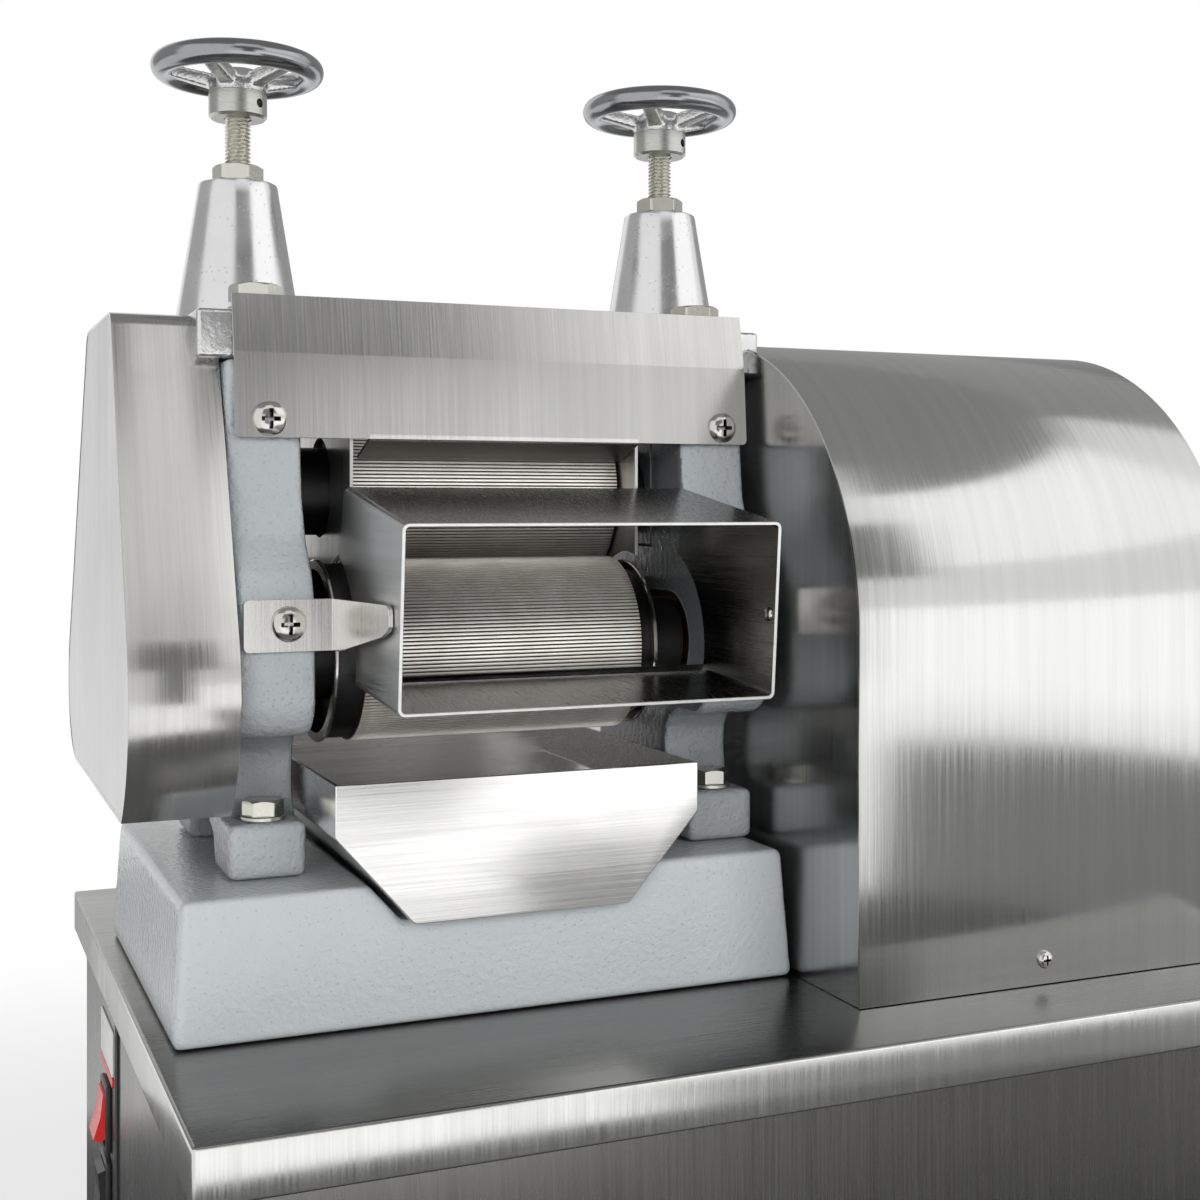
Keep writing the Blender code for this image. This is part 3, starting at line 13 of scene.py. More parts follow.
import bmesh
import bpy
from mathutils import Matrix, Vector


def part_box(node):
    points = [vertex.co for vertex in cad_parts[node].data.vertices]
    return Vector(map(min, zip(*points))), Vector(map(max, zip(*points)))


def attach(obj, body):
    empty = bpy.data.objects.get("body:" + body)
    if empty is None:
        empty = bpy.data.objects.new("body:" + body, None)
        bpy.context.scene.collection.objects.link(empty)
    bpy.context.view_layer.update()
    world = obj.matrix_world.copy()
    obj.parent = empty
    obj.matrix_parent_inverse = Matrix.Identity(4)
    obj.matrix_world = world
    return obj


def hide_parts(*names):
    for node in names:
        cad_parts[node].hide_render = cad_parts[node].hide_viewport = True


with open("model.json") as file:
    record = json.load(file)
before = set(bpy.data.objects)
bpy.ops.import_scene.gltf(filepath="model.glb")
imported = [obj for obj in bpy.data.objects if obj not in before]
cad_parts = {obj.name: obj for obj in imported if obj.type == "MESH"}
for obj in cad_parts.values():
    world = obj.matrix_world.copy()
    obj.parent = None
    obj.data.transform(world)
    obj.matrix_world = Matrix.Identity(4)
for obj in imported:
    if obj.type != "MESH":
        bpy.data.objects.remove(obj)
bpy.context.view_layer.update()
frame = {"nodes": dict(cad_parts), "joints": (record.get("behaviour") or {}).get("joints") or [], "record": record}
nodes = frame["nodes"]
record = frame["record"]
body_of = {name: body for body, names in record["behaviour"]["bodies"].items() for name in names}
joints = {joint["name"]: joint for joint in frame["joints"]}

# %% [markdown]
# ## Places
#
# A few planes and axes are used again and again: the deck of the cabinet, the outer faces of the two side
# frames, and the axes of the rollers and screws. Reading them once keeps the rest short.

# %% Planes and axes read from the model
MM = 0.001


def low(node):
    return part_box(node)[0]


def high(node):
    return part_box(node)[1]


DECK = high("cabinet_top").z
OUTER_L, OUTER_R = low("left_side_frame").x, high("right_side_frame").x
TOP_AXIS = Vector(joints["top_roller_spin"]["pos_m"])
FRONT_AXIS = Vector(joints["front_roller_spin"]["pos_m"])
REAR_AXIS = Vector(joints["rear_roller_spin"]["pos_m"])
PRESS_X, PRESS_Y = TOP_AXIS.x, TOP_AXIS.y
SCREW_X = {side: joints[f"{side}_handwheel_turn"]["pos_m"][0] for side in ("left", "right")}
SHEET = 1.2 * MM
print("deck at", round(DECK, 4), "press centre", round(PRESS_X, 4), round(PRESS_Y, 4))

# %% [markdown]
# ## Camera
#
# A level camera keeps uprights upright, as a shift lens does for a building. It stands low and to
# the left of the press, and the view window is slid down a little so that the cabinet top shows.

# %% Camera
CAMERA_LEFT = 0.2923
CAMERA_AHEAD = 0.6533
CAMERA_ABOVE_DECK = 0.1799
CAMERA_TURN = math.radians(-23.06)


def make_camera():
    camera = bpy.data.objects.new("camera", bpy.data.cameras.new("camera"))
    bpy.context.scene.collection.objects.link(camera)
    camera.location = (-CAMERA_LEFT, -CAMERA_AHEAD, DECK + CAMERA_ABOVE_DECK)
    camera.rotation_euler = (math.radians(90), 0, CAMERA_TURN)
    camera.data.lens = 50.07
    camera.data.shift_x = -0.0072
    camera.data.shift_y = -0.0779
    camera.data.clip_start = 0.02
    bpy.context.scene.camera = camera
    return camera


camera = make_camera()
bpy.context.scene.view_settings.view_transform = "Standard"
print("camera at", tuple(round(v, 3) for v in camera.location))

# %% [markdown]
# ## Studio
#
# Steel has no colour of its own: it shows the room. So the room is built round the machine, with a white
# backdrop and cards that only reflections see: dark ones on the floor, a grey ceiling, grey behind on the
# right and on the left, bright panels ahead on the right. The lamps light matt surfaces and stay out of the
# reflections. The floor is pale near the object, where it takes the shadow, and fades into the white
# backdrop further out: its own light is mixed in with distance, for the eye and for reflections.

# %% Nodes in one line each


def shade(tree, kind, links=None, **settings):
    """Adds a shader node; a link value may be another node's output or a plain value for the socket."""
    made = tree.nodes.new("ShaderNode" + kind)
    for key, value in settings.items():
        setattr(made, key, value)
    for key, value in (links or {}).items():
        socket = made.inputs[key]
        if isinstance(value, bpy.types.NodeSocket):
            tree.links.new(value, socket)
        else:
            socket.default_value = value
    return made


def sums(tree, operation, *values, clamp=False):
    """One Math node, by its operation's name."""
    links = dict(enumerate(values))
    return shade(tree, "Math", links, operation=operation, use_clamp=clamp).outputs[0]


def ramp(tree, value, from_low, from_high, to_low=0.0, to_high=1.0, smooth=False):
    """A value moved from one range to another and held inside it."""
    kind = "SMOOTHSTEP" if smooth else "LINEAR"
    ends = {"Value": value, "From Min": from_low, "From Max": from_high, "To Min": to_low, "To Max": to_high}
    return shade(tree, "MapRange", ends, interpolation_type=kind, clamp=True).outputs["Result"]


def blank_material(name):
    made = bpy.data.materials.new(name)
    made.use_nodes = True
    tree = made.node_tree
    return made, tree, tree.nodes["Principled BSDF"]


# %% Floor, cards and lamps
FADE_FROM, FADE_TO = 0.55, 1.25
ROOM = Vector((0, -0.05, 0.42))

# name: first and last azimuth, first and last elevation, distance, level
ROOM_CARDS = {
    "key_panel": (22, 80, 19, 47, 2.3, 1.35),
    "low_panel": (8, 66, -13, 5, 2.5, 1.5),
    "grey_ahead": (-22, 20, 16, 36, 2.2, 0.22),
    "camera_gap": (-9, 7, -8, 16, 2.2, 0.15),
    "grey_left": (-150, -95, -4, 60, 2.1, 0.45),
    "grey_above": (-22, 20, 60, 89, 2.0, 0.30),
    "grey_ceiling": (20, 338, 46, 89, 2.0, 0.30),
    "grey_rear": (100, 174, 2, 46, 2.1, 0.36),
}
# name: first and last azimuth, radius, height, level
FLOOR_CARDS = {
    "dark_floor": (-180, 180, 0.765, 0.008, 0.12),
    "dim_floor": (14, 200, 1.80, 0.006, 0.24),
    "bright_floor": (-30, 75, 3.4, 0.004, 1.35),
}


def card_material(name, strength):
    """A card that glows evenly, so that its level doesn't depend on the lamps."""
    made, _, shader = blank_material(name)
    shader.inputs["Base Color"].default_value = (0, 0, 0, 1)
    shader.inputs["Specular IOR Level"].default_value = 0.0
    shader.inputs["Emission Color"].default_value = (1, 1, 1, 1)
    shader.inputs["Emission Strength"].default_value = strength
    return made


def floor_material():
    made, tree, shader = blank_material("pale_floor")
    shader.inputs["Base Color"].default_value = (0.92, 0.92, 0.92, 1)
    shader.inputs["Roughness"].default_value = 0.9
    shader.inputs["Specular IOR Level"].default_value = 0.0
    shader.inputs["Emission Color"].default_value = (1, 1, 1, 1)
    place = shade(tree, "TexCoord").outputs["Object"]
    reach = shade(tree, "VectorMath", {0: place}, operation="LENGTH").outputs["Value"]
    fade = ramp(tree, reach, FADE_FROM, FADE_TO, smooth=True)
    path = shade(tree, "LightPath")
    seen = sums(tree, "MAXIMUM", path.outputs["Is Camera Ray"], path.outputs["Is Glossy Ray"])
    seen = sums(tree, "MAXIMUM", seen, path.outputs["Is Transmission Ray"])
    glow = sums(tree, "MULTIPLY", fade, seen)
    backdrop = shade(tree, "Emission", {"Color": (1, 1, 1, 1), "Strength": 1.0})
    mixed = shade(tree, "MixShader", {0: glow, 1: shader.outputs[0], 2: backdrop.outputs[0]})
    tree.links.new(mixed.outputs[0], tree.nodes["Material Output"].inputs["Surface"])
    return made


def toward(azimuth, elevation, distance):
    """A place in the room; azimuth 0 is straight ahead of the machine's front, 90 is on its right."""
    turn, lift = math.radians(azimuth), math.radians(elevation)
    flat = math.cos(lift)
    return ROOM + distance * Vector((math.sin(turn) * flat, -math.cos(turn) * flat, math.sin(lift)))


def stage_mesh(name, rows, material):
    """A sheet through rows of points, as part of the studio."""
    mesh = bpy.data.meshes.new(name)
    width = len(rows[0])
    faces = []
    for row in range(len(rows) - 1):
        for column in range(width - 1):
            corner = row * width + column
            faces.append((corner, corner + 1, corner + width + 1, corner + width))
    mesh.from_pydata([point for row in rows for point in row], [], faces)
    mesh.materials.append(material)
    sheet = bpy.data.objects.new(name, mesh)
    bpy.context.scene.collection.objects.link(sheet)
    return sheet


def disc_rows(first, last, radius, height):
    centre = Vector((0, ROOM.y, height))
    turns = [math.radians(first + (last - first) * step / 48) for step in range(49)]
    rim = [centre + radius * Vector((math.sin(turn), -math.cos(turn), 0)) for turn in turns]
    return [[centre.lerp(point, part) for point in rim] for part in (0.01, 1.0)]


def card_rows(first, last, low_edge, high_edge, distance):
    turns = [first + (last - first) * step / 24 for step in range(25)]
    lifts = [low_edge + (high_edge - low_edge) * step / 8 for step in range(9)]
    return [[toward(turn, lift, distance) for turn in turns] for lift in lifts]


def reflections_only(card):
    card.visible_camera = False
    card.visible_diffuse = False
    card.visible_shadow = False
    card.visible_transmission = False


def make_world():
    """White for the eye and for reflections, a softer level for the light that falls on matt surfaces."""
    world = bpy.data.worlds.new("studio")
    bpy.context.scene.world = world
    world.use_nodes = True
    tree = world.node_tree
    path = shade(tree, "LightPath")
    seen = sums(tree, "MAXIMUM", path.outputs["Is Camera Ray"], path.outputs["Is Glossy Ray"])
    seen = sums(tree, "MAXIMUM", seen, path.outputs["Is Transmission Ray"])
    tree.links.new(ramp(tree, seen, 0, 1, 0.62, 1.0), tree.nodes["Background"].inputs["Strength"])
    tree.nodes["Background"].inputs["Color"].default_value = (1, 1, 1, 1)


def make_lamp(name, place, target, size, watts):
    lamp = bpy.data.objects.new(name, bpy.data.lights.new(name, "AREA"))
    bpy.context.scene.collection.objects.link(lamp)
    lamp.data.shape = "RECTANGLE"
    lamp.data.size, lamp.data.size_y = size
    lamp.data.energy = watts
    lamp.location = place
    lamp.visible_glossy = False
    lamp.rotation_euler = (Vector(target) - Vector(place)).to_track_quat("-Z", "Y").to_euler()
    return lamp


def make_studio():
    floor = [[Vector((x, y, 0)) for x in (-12, 12)] for y in (-12, 12)]
    stage_mesh("floor", floor, floor_material())
    for name, (first, last, radius, height, level) in FLOOR_CARDS.items():
        rows = disc_rows(first, last, radius, height)
        reflections_only(stage_mesh(name, rows, card_material(name + "_card", level)))
    for name, (first, last, low_edge, high_edge, distance, level) in ROOM_CARDS.items():
        rows = card_rows(first, last, low_edge, high_edge, distance)
        reflections_only(stage_mesh(name, rows, card_material(name + "_card", level)))
    middle = (0, 0, 0.45)
    make_lamp("key", (0.5, -2.0, 1.1), middle, (1.4, 1.0), 24)
    make_lamp("left_fill", (-1.0, -1.5, 0.8), middle, (0.8, 0.8), 16)
    make_lamp("top", (0.1, 0.1, 2.1), middle, (1.2, 1.0), 10)


make_world()
make_studio()

# %% [markdown]
# ## Shared effects
#
# The finishes of this machine share a few effects: the fine scratches of brushed sheet, the soft cloudy
# marks of handling, the skin of a sand casting, tool marks from turning, and edges that are rubbed bright.
# Each is built once as a node group with named inputs, and put into a material with that material's values.
# A group puts out masks and heights only; the shader that uses them stays in the material.

# %% Node groups


def start_group(name, inputs, outputs):
    """A node group with its sockets; inputs are (name, type, value), outputs are (name, type)."""
    tree = bpy.data.node_groups.new(name, "ShaderNodeTree")
    for title, kind, value in inputs:
        socket = tree.interface.new_socket(title, in_out="INPUT", socket_type=f"NodeSocket{kind}")
        socket.default_value = value
    for title, kind in outputs:
        tree.interface.new_socket(title, in_out="OUTPUT", socket_type=f"NodeSocket{kind}")
    return tree, tree.nodes.new("NodeGroupInput"), tree.nodes.new("NodeGroupOutput")


def brushed_grain_group():
    """Long scratches: noise that is stretched along the brushing, at a fine and a broad scale."""
    tree, entry, leave = start_group(
        "brushed_grain",
        [("Place", "Vector", (0, 0, 0)), ("Stretch", "Vector", (1, 1, 1)), ("Fineness", "Float", 1500.0)],
        [("Fine", "Float"), ("Streak", "Float")],
    )
    stretched = shade(
        tree, "VectorMath", {0: entry.outputs["Place"], 1: entry.outputs["Stretch"]}, operation="MULTIPLY"
    ).outputs[0]
    fine = shade(tree, "TexNoise", {"Vector": stretched, "Scale": entry.outputs["Fineness"], "Detail": 2.0})
    broad_scale = sums(tree, "MULTIPLY", entry.outputs["Fineness"], 0.16)
    broad = shade(tree, "TexNoise", {"Vector": stretched, "Scale": broad_scale, "Detail": 3.0})
    tree.links.new(fine.outputs["Fac"], leave.inputs["Fine"])
    tree.links.new(ramp(tree, broad.outputs["Fac"], 0.3, 0.7), leave.inputs["Streak"])
    return tree


def handling_marks_group():
    """Cloudy patches where hands, cloths and juice have been."""
    tree, entry, leave = start_group(
        "handling_marks",
        [("Place", "Vector", (0, 0, 0)), ("Size", "Float", 25.0), ("Sharpness", "Float", 0.15)],
        [("Mask", "Float")],
    )
    place, size = entry.outputs["Place"], entry.outputs["Size"]
    links = {"Vector": place, "Scale": size, "Detail": 4.0, "Distortion": 0.6}
    cloud = shade(tree, "TexNoise", links).outputs["Fac"]
    start = sums(tree, "SUBTRACT", 0.52, entry.outputs["Sharpness"])
    end = sums(tree, "ADD", 0.52, entry.outputs["Sharpness"])
    tree.links.new(ramp(tree, cloud, start, end, smooth=True), leave.inputs["Mask"])
    return tree


def cast_skin_group():
    """The skin of a sand casting under paint or plating: low lumps, a finer peel and a few pits."""
    tree, entry, leave = start_group(
        "cast_skin",
        [("Place", "Vector", (0, 0, 0)), ("Lump Size", "Float", 260.0), ("Pits", "Float", 0.5)],
        [("Height", "Float"), ("Pit Mask", "Float")],
    )
    place, size = entry.outputs["Place"], entry.outputs["Lump Size"]
    lumps = shade(tree, "TexNoise", {"Vector": place, "Scale": size, "Detail": 2.0, "Roughness": 0.45})
    peel_scale = sums(tree, "MULTIPLY", size, 2.7)
    peel = shade(tree, "TexNoise", {"Vector": place, "Scale": peel_scale, "Detail": 1.0})
    pit_scale = sums(tree, "MULTIPLY", size, 0.9)
    pits = shade(tree, "TexVoronoi", {"Vector": place, "Scale": pit_scale, "Randomness": 1.0})
    pit_mask = ramp(tree, pits.outputs["Distance"], 0.10, 0.22, 1.0, 0.0, smooth=True)
    pit_mask = sums(tree, "MULTIPLY", pit_mask, entry.outputs["Pits"])
    height = sums(tree, "MULTIPLY_ADD", peel.outputs["Fac"], 0.35, lumps.outputs["Fac"])
    height = sums(tree, "SUBTRACT", height, pit_mask)
    tree.links.new(height, leave.inputs["Height"])
    tree.links.new(pit_mask, leave.inputs["Pit Mask"])
    return tree


def turned_rings_group():
    """Tool marks of a lathe: fine rings that lie across an axis, from the place along it."""
    tree, entry, leave = start_group(
        "turned_rings",
        [("Along", "Float", 0.0), ("Pitch", "Float", 0.0004)],
        [("Height", "Float")],
    )
    turns = sums(tree, "DIVIDE", entry.outputs["Along"], entry.outputs["Pitch"])
    wobble = shade(tree, "TexNoise", {"W": turns, "Scale": 0.35, "Detail": 2.0}, noise_dimensions="1D")
    wave = sums(tree, "SINE", sums(tree, "MULTIPLY", turns, 2 * math.pi))
    tree.links.new(sums(tree, "MULTIPLY_ADD", wave, 0.3, wobble.outputs["Fac"]), leave.inputs["Height"])
    return tree


def edge_wear_group():
    """Bright on outer edges: how far the rounded normal leans from the true one, broken up by noise."""
    tree, entry, leave = start_group(
        "edge_wear",
        [("Place", "Vector", (0, 0, 0)), ("Width", "Float", 0.0012), ("Patchiness", "Float", 0.5)],
        [("Mask", "Float")],
    )
    soft = shade(tree, "Bevel", {"Radius": entry.outputs["Width"]}, samples=4).outputs[0]
    flat = shade(tree, "NewGeometry").outputs["Normal"]
    lean = shade(tree, "VectorMath", {0: soft, 1: flat}, operation="DOT_PRODUCT").outputs["Value"]
    edge = ramp(tree, lean, 0.995, 0.90)
    patches = shade(tree, "TexNoise", {"Vector": entry.outputs["Place"], "Scale": 160.0, "Detail": 3.0})
    level = sums(tree, "MULTIPLY", patches.outputs["Fac"], entry.outputs["Patchiness"])
    tree.links.new(sums(tree, "SUBTRACT", edge, level, clamp=True), leave.inputs["Mask"])
    return tree


GROUPS = {
    "grain": brushed_grain_group(),
    "marks": handling_marks_group(),
    "skin": cast_skin_group(),
    "rings": turned_rings_group(),
    "wear": edge_wear_group(),
}
print("groups:", sorted(group.name for group in GROUPS.values()))


def use_group(tree, key, **values):
    """Puts a shared effect into a material; underscores in a value's name stand for spaces."""
    made = tree.nodes.new("ShaderNodeGroup")
    made.node_tree = GROUPS[key]
    for title, value in values.items():
        socket = made.inputs[title.replace("_", " ")]
        if isinstance(value, bpy.types.NodeSocket):
            tree.links.new(value, socket)
        else:
            socket.default_value = value
    return made.outputs


# %% [markdown]
# ## Brushed stainless steel
#
# Sheet is brushed in one direction, so its scratches are long and its reflections smear across them. The
# scratches drive the roughness and a very low bump; the smear comes from the shader's anisotropy. It runs
# along the tangent, so the tangent is given across the brushing. Where a sheet is wrapped round the X axis,
# its scratches run round too, and the tangent is simply X. Colour hardly varies: steel is neutral, slightly
# warm, and a
# little darker where it has been handled.

# %% Brushed sheet
ALONG_X, ALONG_Y, ALONG_Z = (1, 0, 0), (0, 1, 0), (0, 0, 1)
ROUND_X = (0, 1, 1)


def mix_colours(tree, share, first, second):
    made = shade(tree, "Mix", {"Factor": share}, data_type="RGBA")
    for key, colour in ((6, first), (7, second)):
        if isinstance(colour, bpy.types.NodeSocket):
            tree.links.new(colour, made.inputs[key])
        else:
            made.inputs[key].default_value = (*colour, 1)
    return made.outputs[2]


def bump(tree, height, strength, distance):
    links = {"Height": height, "Strength": strength, "Distance": distance}
    return shade(tree, "Bump", links).outputs["Normal"]


STAINLESS = (0.60, 0.595, 0.58)


def scaled(colour, share):
    return tuple(part * share for part in colour)


def brushed_sheet(name, brushing, colour=STAINLESS, roughness=0.30, smear=0.55, streaks=0.10, marks=0.5):
    made, tree, shader = blank_material(name)
    place = shade(tree, "TexCoord").outputs["Object"]
    stretch = tuple(0.012 if part else 1.0 for part in brushing)
    grain = use_group(tree, "grain", Place=place, Stretch=stretch, Fineness=1400.0)
    handled = use_group(tree, "marks", Place=place, Size=16.0, Sharpness=0.16)["Mask"]
    dull = sums(tree, "MULTIPLY", handled, marks)
    bright = tuple(min(1.0, part * 1.04) for part in colour)
    shadow = tuple(part * (1 - streaks) for part in colour)
    worked = mix_colours(tree, grain["Streak"], shadow, bright)
    grubby = mix_colours(tree, sums(tree, "MULTIPLY", dull, 0.25), worked, scaled(colour, 0.8))
    rough = ramp(tree, grain["Fine"], 0.25, 0.75, roughness - 0.05, roughness + 0.06)
    rough = sums(tree, "MULTIPLY_ADD", dull, 0.07, rough)
    tree.links.new(grubby, shader.inputs["Base Color"])
    tree.links.new(rough, shader.inputs["Roughness"])
    tree.links.new(bump(tree, grain["Fine"], 0.22, 0.00006), shader.inputs["Normal"])
    shader.inputs["Metallic"].default_value = 1.0
    shader.inputs["Anisotropic"].default_value = smear
    if brushing == ROUND_X:
        across = shade(tree, "CombineXYZ", {"X": 1.0}).outputs[0]
    else:
        facing = shade(tree, "NewGeometry").outputs["Normal"]
        along = tuple(part + 0.03 for part in brushing)
        across = shade(tree, "VectorMath", {0: facing, 1: along}, operation="CROSS_PRODUCT").outputs[0]
    tree.links.new(across, shader.inputs["Tangent"])
    return made


MATERIALS = {
    "sheet_up": brushed_sheet("stainless_brushed_up", ALONG_Z),
    # deck, lip and panel are copies of one stainless in other colours: the dark deck and panel are painted shade,
    # the bright lip is painted light
    "deck": brushed_sheet("deck_stainless_painted_shade", ALONG_X, (0.27, 0.27, 0.258), 0.22, 0.5, 0.06, 0.6),
    "lip": brushed_sheet("lip_stainless_painted_light", ALONG_Z, (0.70, 0.70, 0.68), 0.20, 0.5, 0.06, 0.5),
    "panel": brushed_sheet("panel_stainless_painted_shade", ALONG_Z, (0.27, 0.266, 0.26), 0.24, 0.5, 0.06, 0.5),
    "cover": brushed_sheet("cover_stainless", ROUND_X, (0.62, 0.62, 0.605), 0.15, 0.6, 0.03, 0.3),
}
print(len(MATERIALS), "sheet finishes")

# %% [markdown]
# ## Paint on cast iron
#
# The base and the side frames are sand castings under one thick coat of blue-grey enamel. The coat is
# glossy, but it follows every lump of the casting, so highlights break up. Edges show a lighter rub, and
# hollows hold a little grime. A clear coat would be wrong: the enamel itself has the gloss.

# %% Cast and painted


def cast_paint(name, colour, lumps=420.0, depth=0.0006, gloss=0.14):
    made, tree, shader = blank_material(name)
    place = shade(tree, "TexCoord").outputs["Object"]
    skin = use_group(tree, "skin", Place=place, Lump_Size=lumps, Pits=0.35)
    cloud = use_group(tree, "marks", Place=place, Size=38.0, Sharpness=0.40)["Mask"]
    wear = use_group(tree, "wear", Place=place, Width=0.0014, Patchiness=0.75)["Mask"]
    tone = mix_colours(tree, cloud, scaled(colour, 0.975), scaled(colour, 1.02))
    tone = mix_colours(tree, sums(tree, "MULTIPLY", skin["Pit Mask"], 0.5), tone, scaled(colour, 0.6))
    tone = mix_colours(tree, sums(tree, "MULTIPLY", wear, 0.5), tone, (0.72, 0.74, 0.75))
    tree.links.new(tone, shader.inputs["Base Color"])
    tree.links.new(ramp(tree, cloud, 0, 1, gloss - 0.02, gloss + 0.04), shader.inputs["Roughness"])
    tree.links.new(bump(tree, skin["Height"], 0.5, depth), shader.inputs["Normal"])
    shader.inputs["Specular IOR Level"].default_value = 0.55
    return made


MATERIALS["paint"] = cast_paint("grey_enamel_on_casting", (0.355, 0.38, 0.39))
# The frames' copy of the enamel is rougher, and darker than the base's as painted shade: the frames catch less
# light.
MATERIALS["rough_shaded_paint"] = cast_paint("grey_enamel_rough_shaded", (0.275, 0.295, 0.305), 420.0, 0.0016, 0.12)
# A near-black copy of the enamel: painted shade, and grime from juice and grease.
MATERIALS["shade_and_grime_paint"] = cast_paint("grey_enamel_shade_and_grime", (0.11, 0.117, 0.122), 330.0, 0.0004, 0.22)
print("paint:", MATERIALS["paint"].name)

# %% [markdown]
# ## Plated, polished and turned metal
#
# The towers and handwheels are castings that were polished and plated: mirror-bright where the wheel
# could reach, with tiny pits, and rough and silvery where it could not, such as the spokes. Screws, nuts
# and spindles are turned and zinc plated, which gives a faint yellow-green. One function covers these,
# with values for pits, lumps and tint.

# %% Bare metal


def plated(name, colour, roughness, lumps=300.0, depth=0.00003, pits=0.4, cloudiness=0.06):
    made, tree, shader = blank_material(name)
    place = shade(tree, "TexCoord").outputs["Object"]
    skin = use_group(tree, "skin", Place=place, Lump_Size=lumps, Pits=pits)
    cloud = use_group(tree, "marks", Place=place, Size=70.0, Sharpness=0.2)["Mask"]
    tone = mix_colours(tree, cloud, scaled(colour, 0.94), colour)
    tone = mix_colours(tree, sums(tree, "MULTIPLY", skin["Pit Mask"], 0.6), tone, scaled(colour, 0.45))
    rough = ramp(tree, cloud, 0, 1, roughness, roughness + cloudiness)
    tree.links.new(tone, shader.inputs["Base Color"])
    tree.links.new(sums(tree, "MULTIPLY_ADD", skin["Pit Mask"], 0.15, rough), shader.inputs["Roughness"])
    tree.links.new(bump(tree, skin["Height"], 0.5, depth), shader.inputs["Normal"])
    shader.inputs["Metallic"].default_value = 1.0
    return made


def turned_metal(name, colour, roughness, axis, pitch=0.0005, depth=0.00002):
    """Lathe-turned metal: the axis says which coordinate runs along the bar."""
    made, tree, shader = blank_material(name)
    place = shade(tree, "TexCoord").outputs["Object"]
    parts = shade(tree, "SeparateXYZ", {0: place})
    rings = use_group(tree, "rings", Along=parts.outputs[axis], Pitch=pitch)["Height"]
    cloud = use_group(tree, "marks", Place=place, Size=60.0, Sharpness=0.25)["Mask"]
    tone = mix_colours(tree, cloud, scaled(colour, 0.85), colour)
    rough = ramp(tree, rings, 0.2, 0.9, roughness - 0.06, roughness + 0.08)
    tree.links.new(tone, shader.inputs["Base Color"])
    tree.links.new(rough, shader.inputs["Roughness"])
    tree.links.new(bump(tree, rings, 0.4, depth), shader.inputs["Normal"])
    shader.inputs["Metallic"].default_value = 1.0
    return made


MATERIALS["tower_chrome"] = plated("polished_plated_casting", (0.74, 0.74, 0.745), 0.19, 420.0, 0.00003, 0.55)
MATERIALS["cast_chrome"] = plated("plated_rough_casting", (0.74, 0.74, 0.735), 0.24, 520.0, 0.0003, 0.3)
MATERIALS["rim_chrome"] = plated("dark_polished_rim", (0.36, 0.365, 0.375), 0.15, 300.0, 0.00001, 0.1)
MATERIALS["zinc"] = plated("zinc_plated_steel", (0.70, 0.70, 0.63), 0.24, 600.0, 0.00004, 0.2, 0.12)
MATERIALS["screw"] = plated("polished_screw", (0.66, 0.64, 0.60), 0.13, 500.0, 0.00001, 0.1)
MATERIALS["steel"] = turned_metal("turned_steel", (0.52, 0.51, 0.49), 0.30, "X")
MATERIALS["steel_upright"] = turned_metal("turned_steel_upright", (0.60, 0.60, 0.56), 0.28, "Z")
MATERIALS["bronze"] = turned_metal("bearing_bronze", (0.50, 0.35, 0.17), 0.34, "X")
# Near-black iron: the pulleys' own colour, and painted shade on roller necks and collars and in screw recesses.
MATERIALS["black_iron"] = turned_metal("blackened_iron_and_painted_shade", (0.06, 0.06, 0.06), 0.45, "X")
print(len(MATERIALS), "finishes so far")

# %% [markdown]
# ## Rollers that have bitten cane
#
# The flutes' lands are bright and faintly cream from sugar, the grooves between them are coloured nearly
# black, and the ends carry a trace of rust. Colour follows the distance from the roller's own axis, so
# the pattern turns with the roller.

# %% Fluted steel


def fluted_steel(name, axis, radius, groove, ends):
    made, tree, shader = blank_material(name)
    place = shade(tree, "TexCoord").outputs["Object"]
    offset = shade(tree, "VectorMath", {0: place, 1: tuple(axis)}, operation="SUBTRACT").outputs[0]
    across = shade(tree, "VectorMath", {0: offset, 1: (0, 1, 1)}, operation="MULTIPLY").outputs[0]
    reach = shade(tree, "VectorMath", {0: across}, operation="LENGTH").outputs["Value"]
    land = ramp(tree, reach, radius - groove * 0.75, radius - groove * 0.15)
    along = shade(tree, "SeparateXYZ", {0: place}).outputs["X"]
    from_left = ramp(tree, along, ends[0] + 0.004, ends[0], smooth=True)
    from_right = ramp(tree, along, ends[1] - 0.004, ends[1], smooth=True)
    at_end = sums(tree, "ADD", from_left, from_right)
    grain = use_group(tree, "grain", Place=place, Stretch=(0.05, 1, 1), Fineness=900.0)
    cloud = use_group(tree, "marks", Place=place, Size=90.0, Sharpness=0.2)["Mask"]
    bright = mix_colours(tree, cloud, (0.80, 0.77, 0.70), (0.92, 0.90, 0.84))
    rust = sums(tree, "MULTIPLY", at_end, sums(tree, "MULTIPLY", cloud, 0.55))
    rusty = mix_colours(tree, rust, bright, (0.42, 0.30, 0.19))
    tone = mix_colours(tree, land, (0.045, 0.042, 0.04), rusty)
    tree.links.new(tone, shader.inputs["Base Color"])
    tree.links.new(ramp(tree, land, 0, 1, 0.55, 0.30), shader.inputs["Roughness"])
    tree.links.new(ramp(tree, land, 0, 1, 0.6, 0.72), shader.inputs["Metallic"])
    tree.links.new(bump(tree, grain["Fine"], 0.3, 0.00006), shader.inputs["Normal"])
    return made


# %% [markdown]
# ## Plastic and rubber
#
# Switch rockers are moulded plastic with a fine texture, and feet and belt are rubber with a dusty bloom.
# Both are dielectrics: dark colours with a soft sheen, broken up by noise so that they don't look like
# computer black.

# %% Moulded materials


